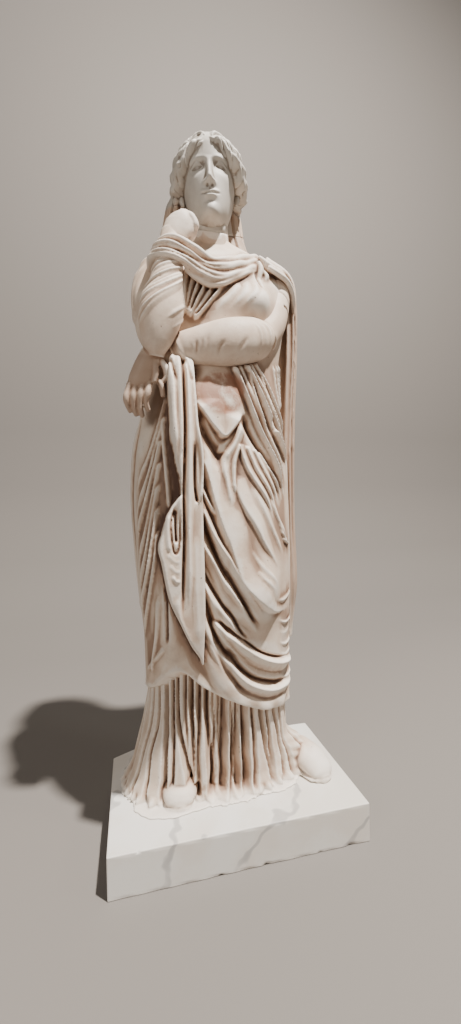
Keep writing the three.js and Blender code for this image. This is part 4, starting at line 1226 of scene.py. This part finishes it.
def makeCamera():
    settings = dict(place=(-0.2473, -1.1064, 0.850), lens=14.375, ahead=(0.2339, 0.9721, -0.0155),
                    across=(0.9720, -0.2341, -0.0179))
    lens = bpy.data.cameras.new("view")
    lens.sensor_width = 36
    lens.lens = settings["lens"]
    lens.clip_start = 0.05
    camera = linked("view", lens)
    forward = Vector(settings["ahead"]).normalized()
    right = Vector(settings["across"]).normalized()
    up = right.cross(forward).normalized()
    right = forward.cross(up)
    turn = Matrix((right, up, -forward)).transposed().to_4x4()
    camera.matrix_world = Matrix.Translation(settings["place"]) @ turn
    bpy.context.scene.camera = camera


def makeLamp(name, place, size, power, aim=(0, 0, 1.0), colour=(1, 0.96, 0.9)):
    lamp = bpy.data.lights.new(name, "AREA")
    lamp.shape = "DISK"
    lamp.size = size
    lamp.energy = power
    lamp.color = colour
    hung = linked(name, lamp)
    hung.location = place
    hung.rotation_euler = (Vector(aim) - Vector(place)).to_track_quat("-Z", "Y").to_euler()


def makeRoom():
    settings = dict(wall=(0.185, 0.167, 0.152), brightness=0.06, start=1.6, bend=1.2)
    start, radius = settings["start"], settings["bend"]
    bm = bmesh.new()
    bmesh.ops.create_grid(bm, x_segments=40, y_segments=40, size=9)
    for v in bm.verts:
        back = max(0.0, v.co.y - start)
        if back > 0:  # the floor sweeps up into a backdrop
            angle = min(back, radius) / radius * math.pi / 2
            v.co.z = radius * (1 - math.cos(angle)) + max(0.0, back - radius)
            v.co.y = start + radius * math.sin(angle)
    sweep = bpy.data.meshes.new("floor")
    bm.to_mesh(sweep)
    bm.free()
    sweep.shade_smooth()
    floor = linked("floor", sweep)
    s = Sheet("pale floor")
    s.feed(s.shader.inputs["Base Color"], settings["wall"])
    s.feed(s.shader.inputs["Roughness"], 0.9)
    sweep.materials.append(s.material)
    makeLamp("key", (1.5, -1.9, 6.6), 0.25, 1380, aim=(0, 0, 0.9))
    makeLamp("side", (2.4, -1.4, 2.6), 0.5, 14, aim=(0, 0, 1.1))
    makeLamp("fill", (-2.4, -2.2, 2.2), 1.5, 40, aim=(0, 0, 1.0))
    makeLamp("wash", (0.3, 0.9, 4.4), 1.5, 20, aim=(0, 3.2, 1.2))
    world = bpy.data.worlds.new("room")
    bpy.context.scene.world = world
    world.use_nodes = True
    sky = world.node_tree.nodes["Background"]
    sky.inputs["Color"].default_value = (0.62, 0.58, 0.54, 1)
    sky.inputs["Strength"].default_value = settings["brightness"]


makeCamera()
makeRoom()
print("camera, floor and light ready")

stone = figureMarble()
for name, makers, settings in [
    ("tunic_and_feet", [makeTunic, makeFeet, makePad], dict(voxel=2.2, passes=1, most=170000, floor=97.4)),
    ("mantle", [makeRobe, makeHangingEnd, makeSideFall, makeCollar, makeShoulderFold],
     dict(voxel=2.3, passes=1, most=195000)),
    ("arms_and_hands", [makeArms, makeRightHand, makeLeftHand], dict(voxel=2.0, passes=1, most=140000)),
    ("neck_and_veil", [makeNeck, makeVeil], dict(voxel=2.2, passes=1, most=90000, keep="below")),
]:
    piece = carvedPiece(name, makers, settings, "figure")
    piece.data.materials.append(stone)
headSettings.update(voxel=1.3, passes=2, most=180000, keep="above", also=[makeNeck, makeVeil])
head = carvedPiece("head_carved", [makeFace, makeHair], headSettings, "head")
head.data.materials.append(headMarble())
slab = makeSlab()
slab.data.materials.append(slabMarble())
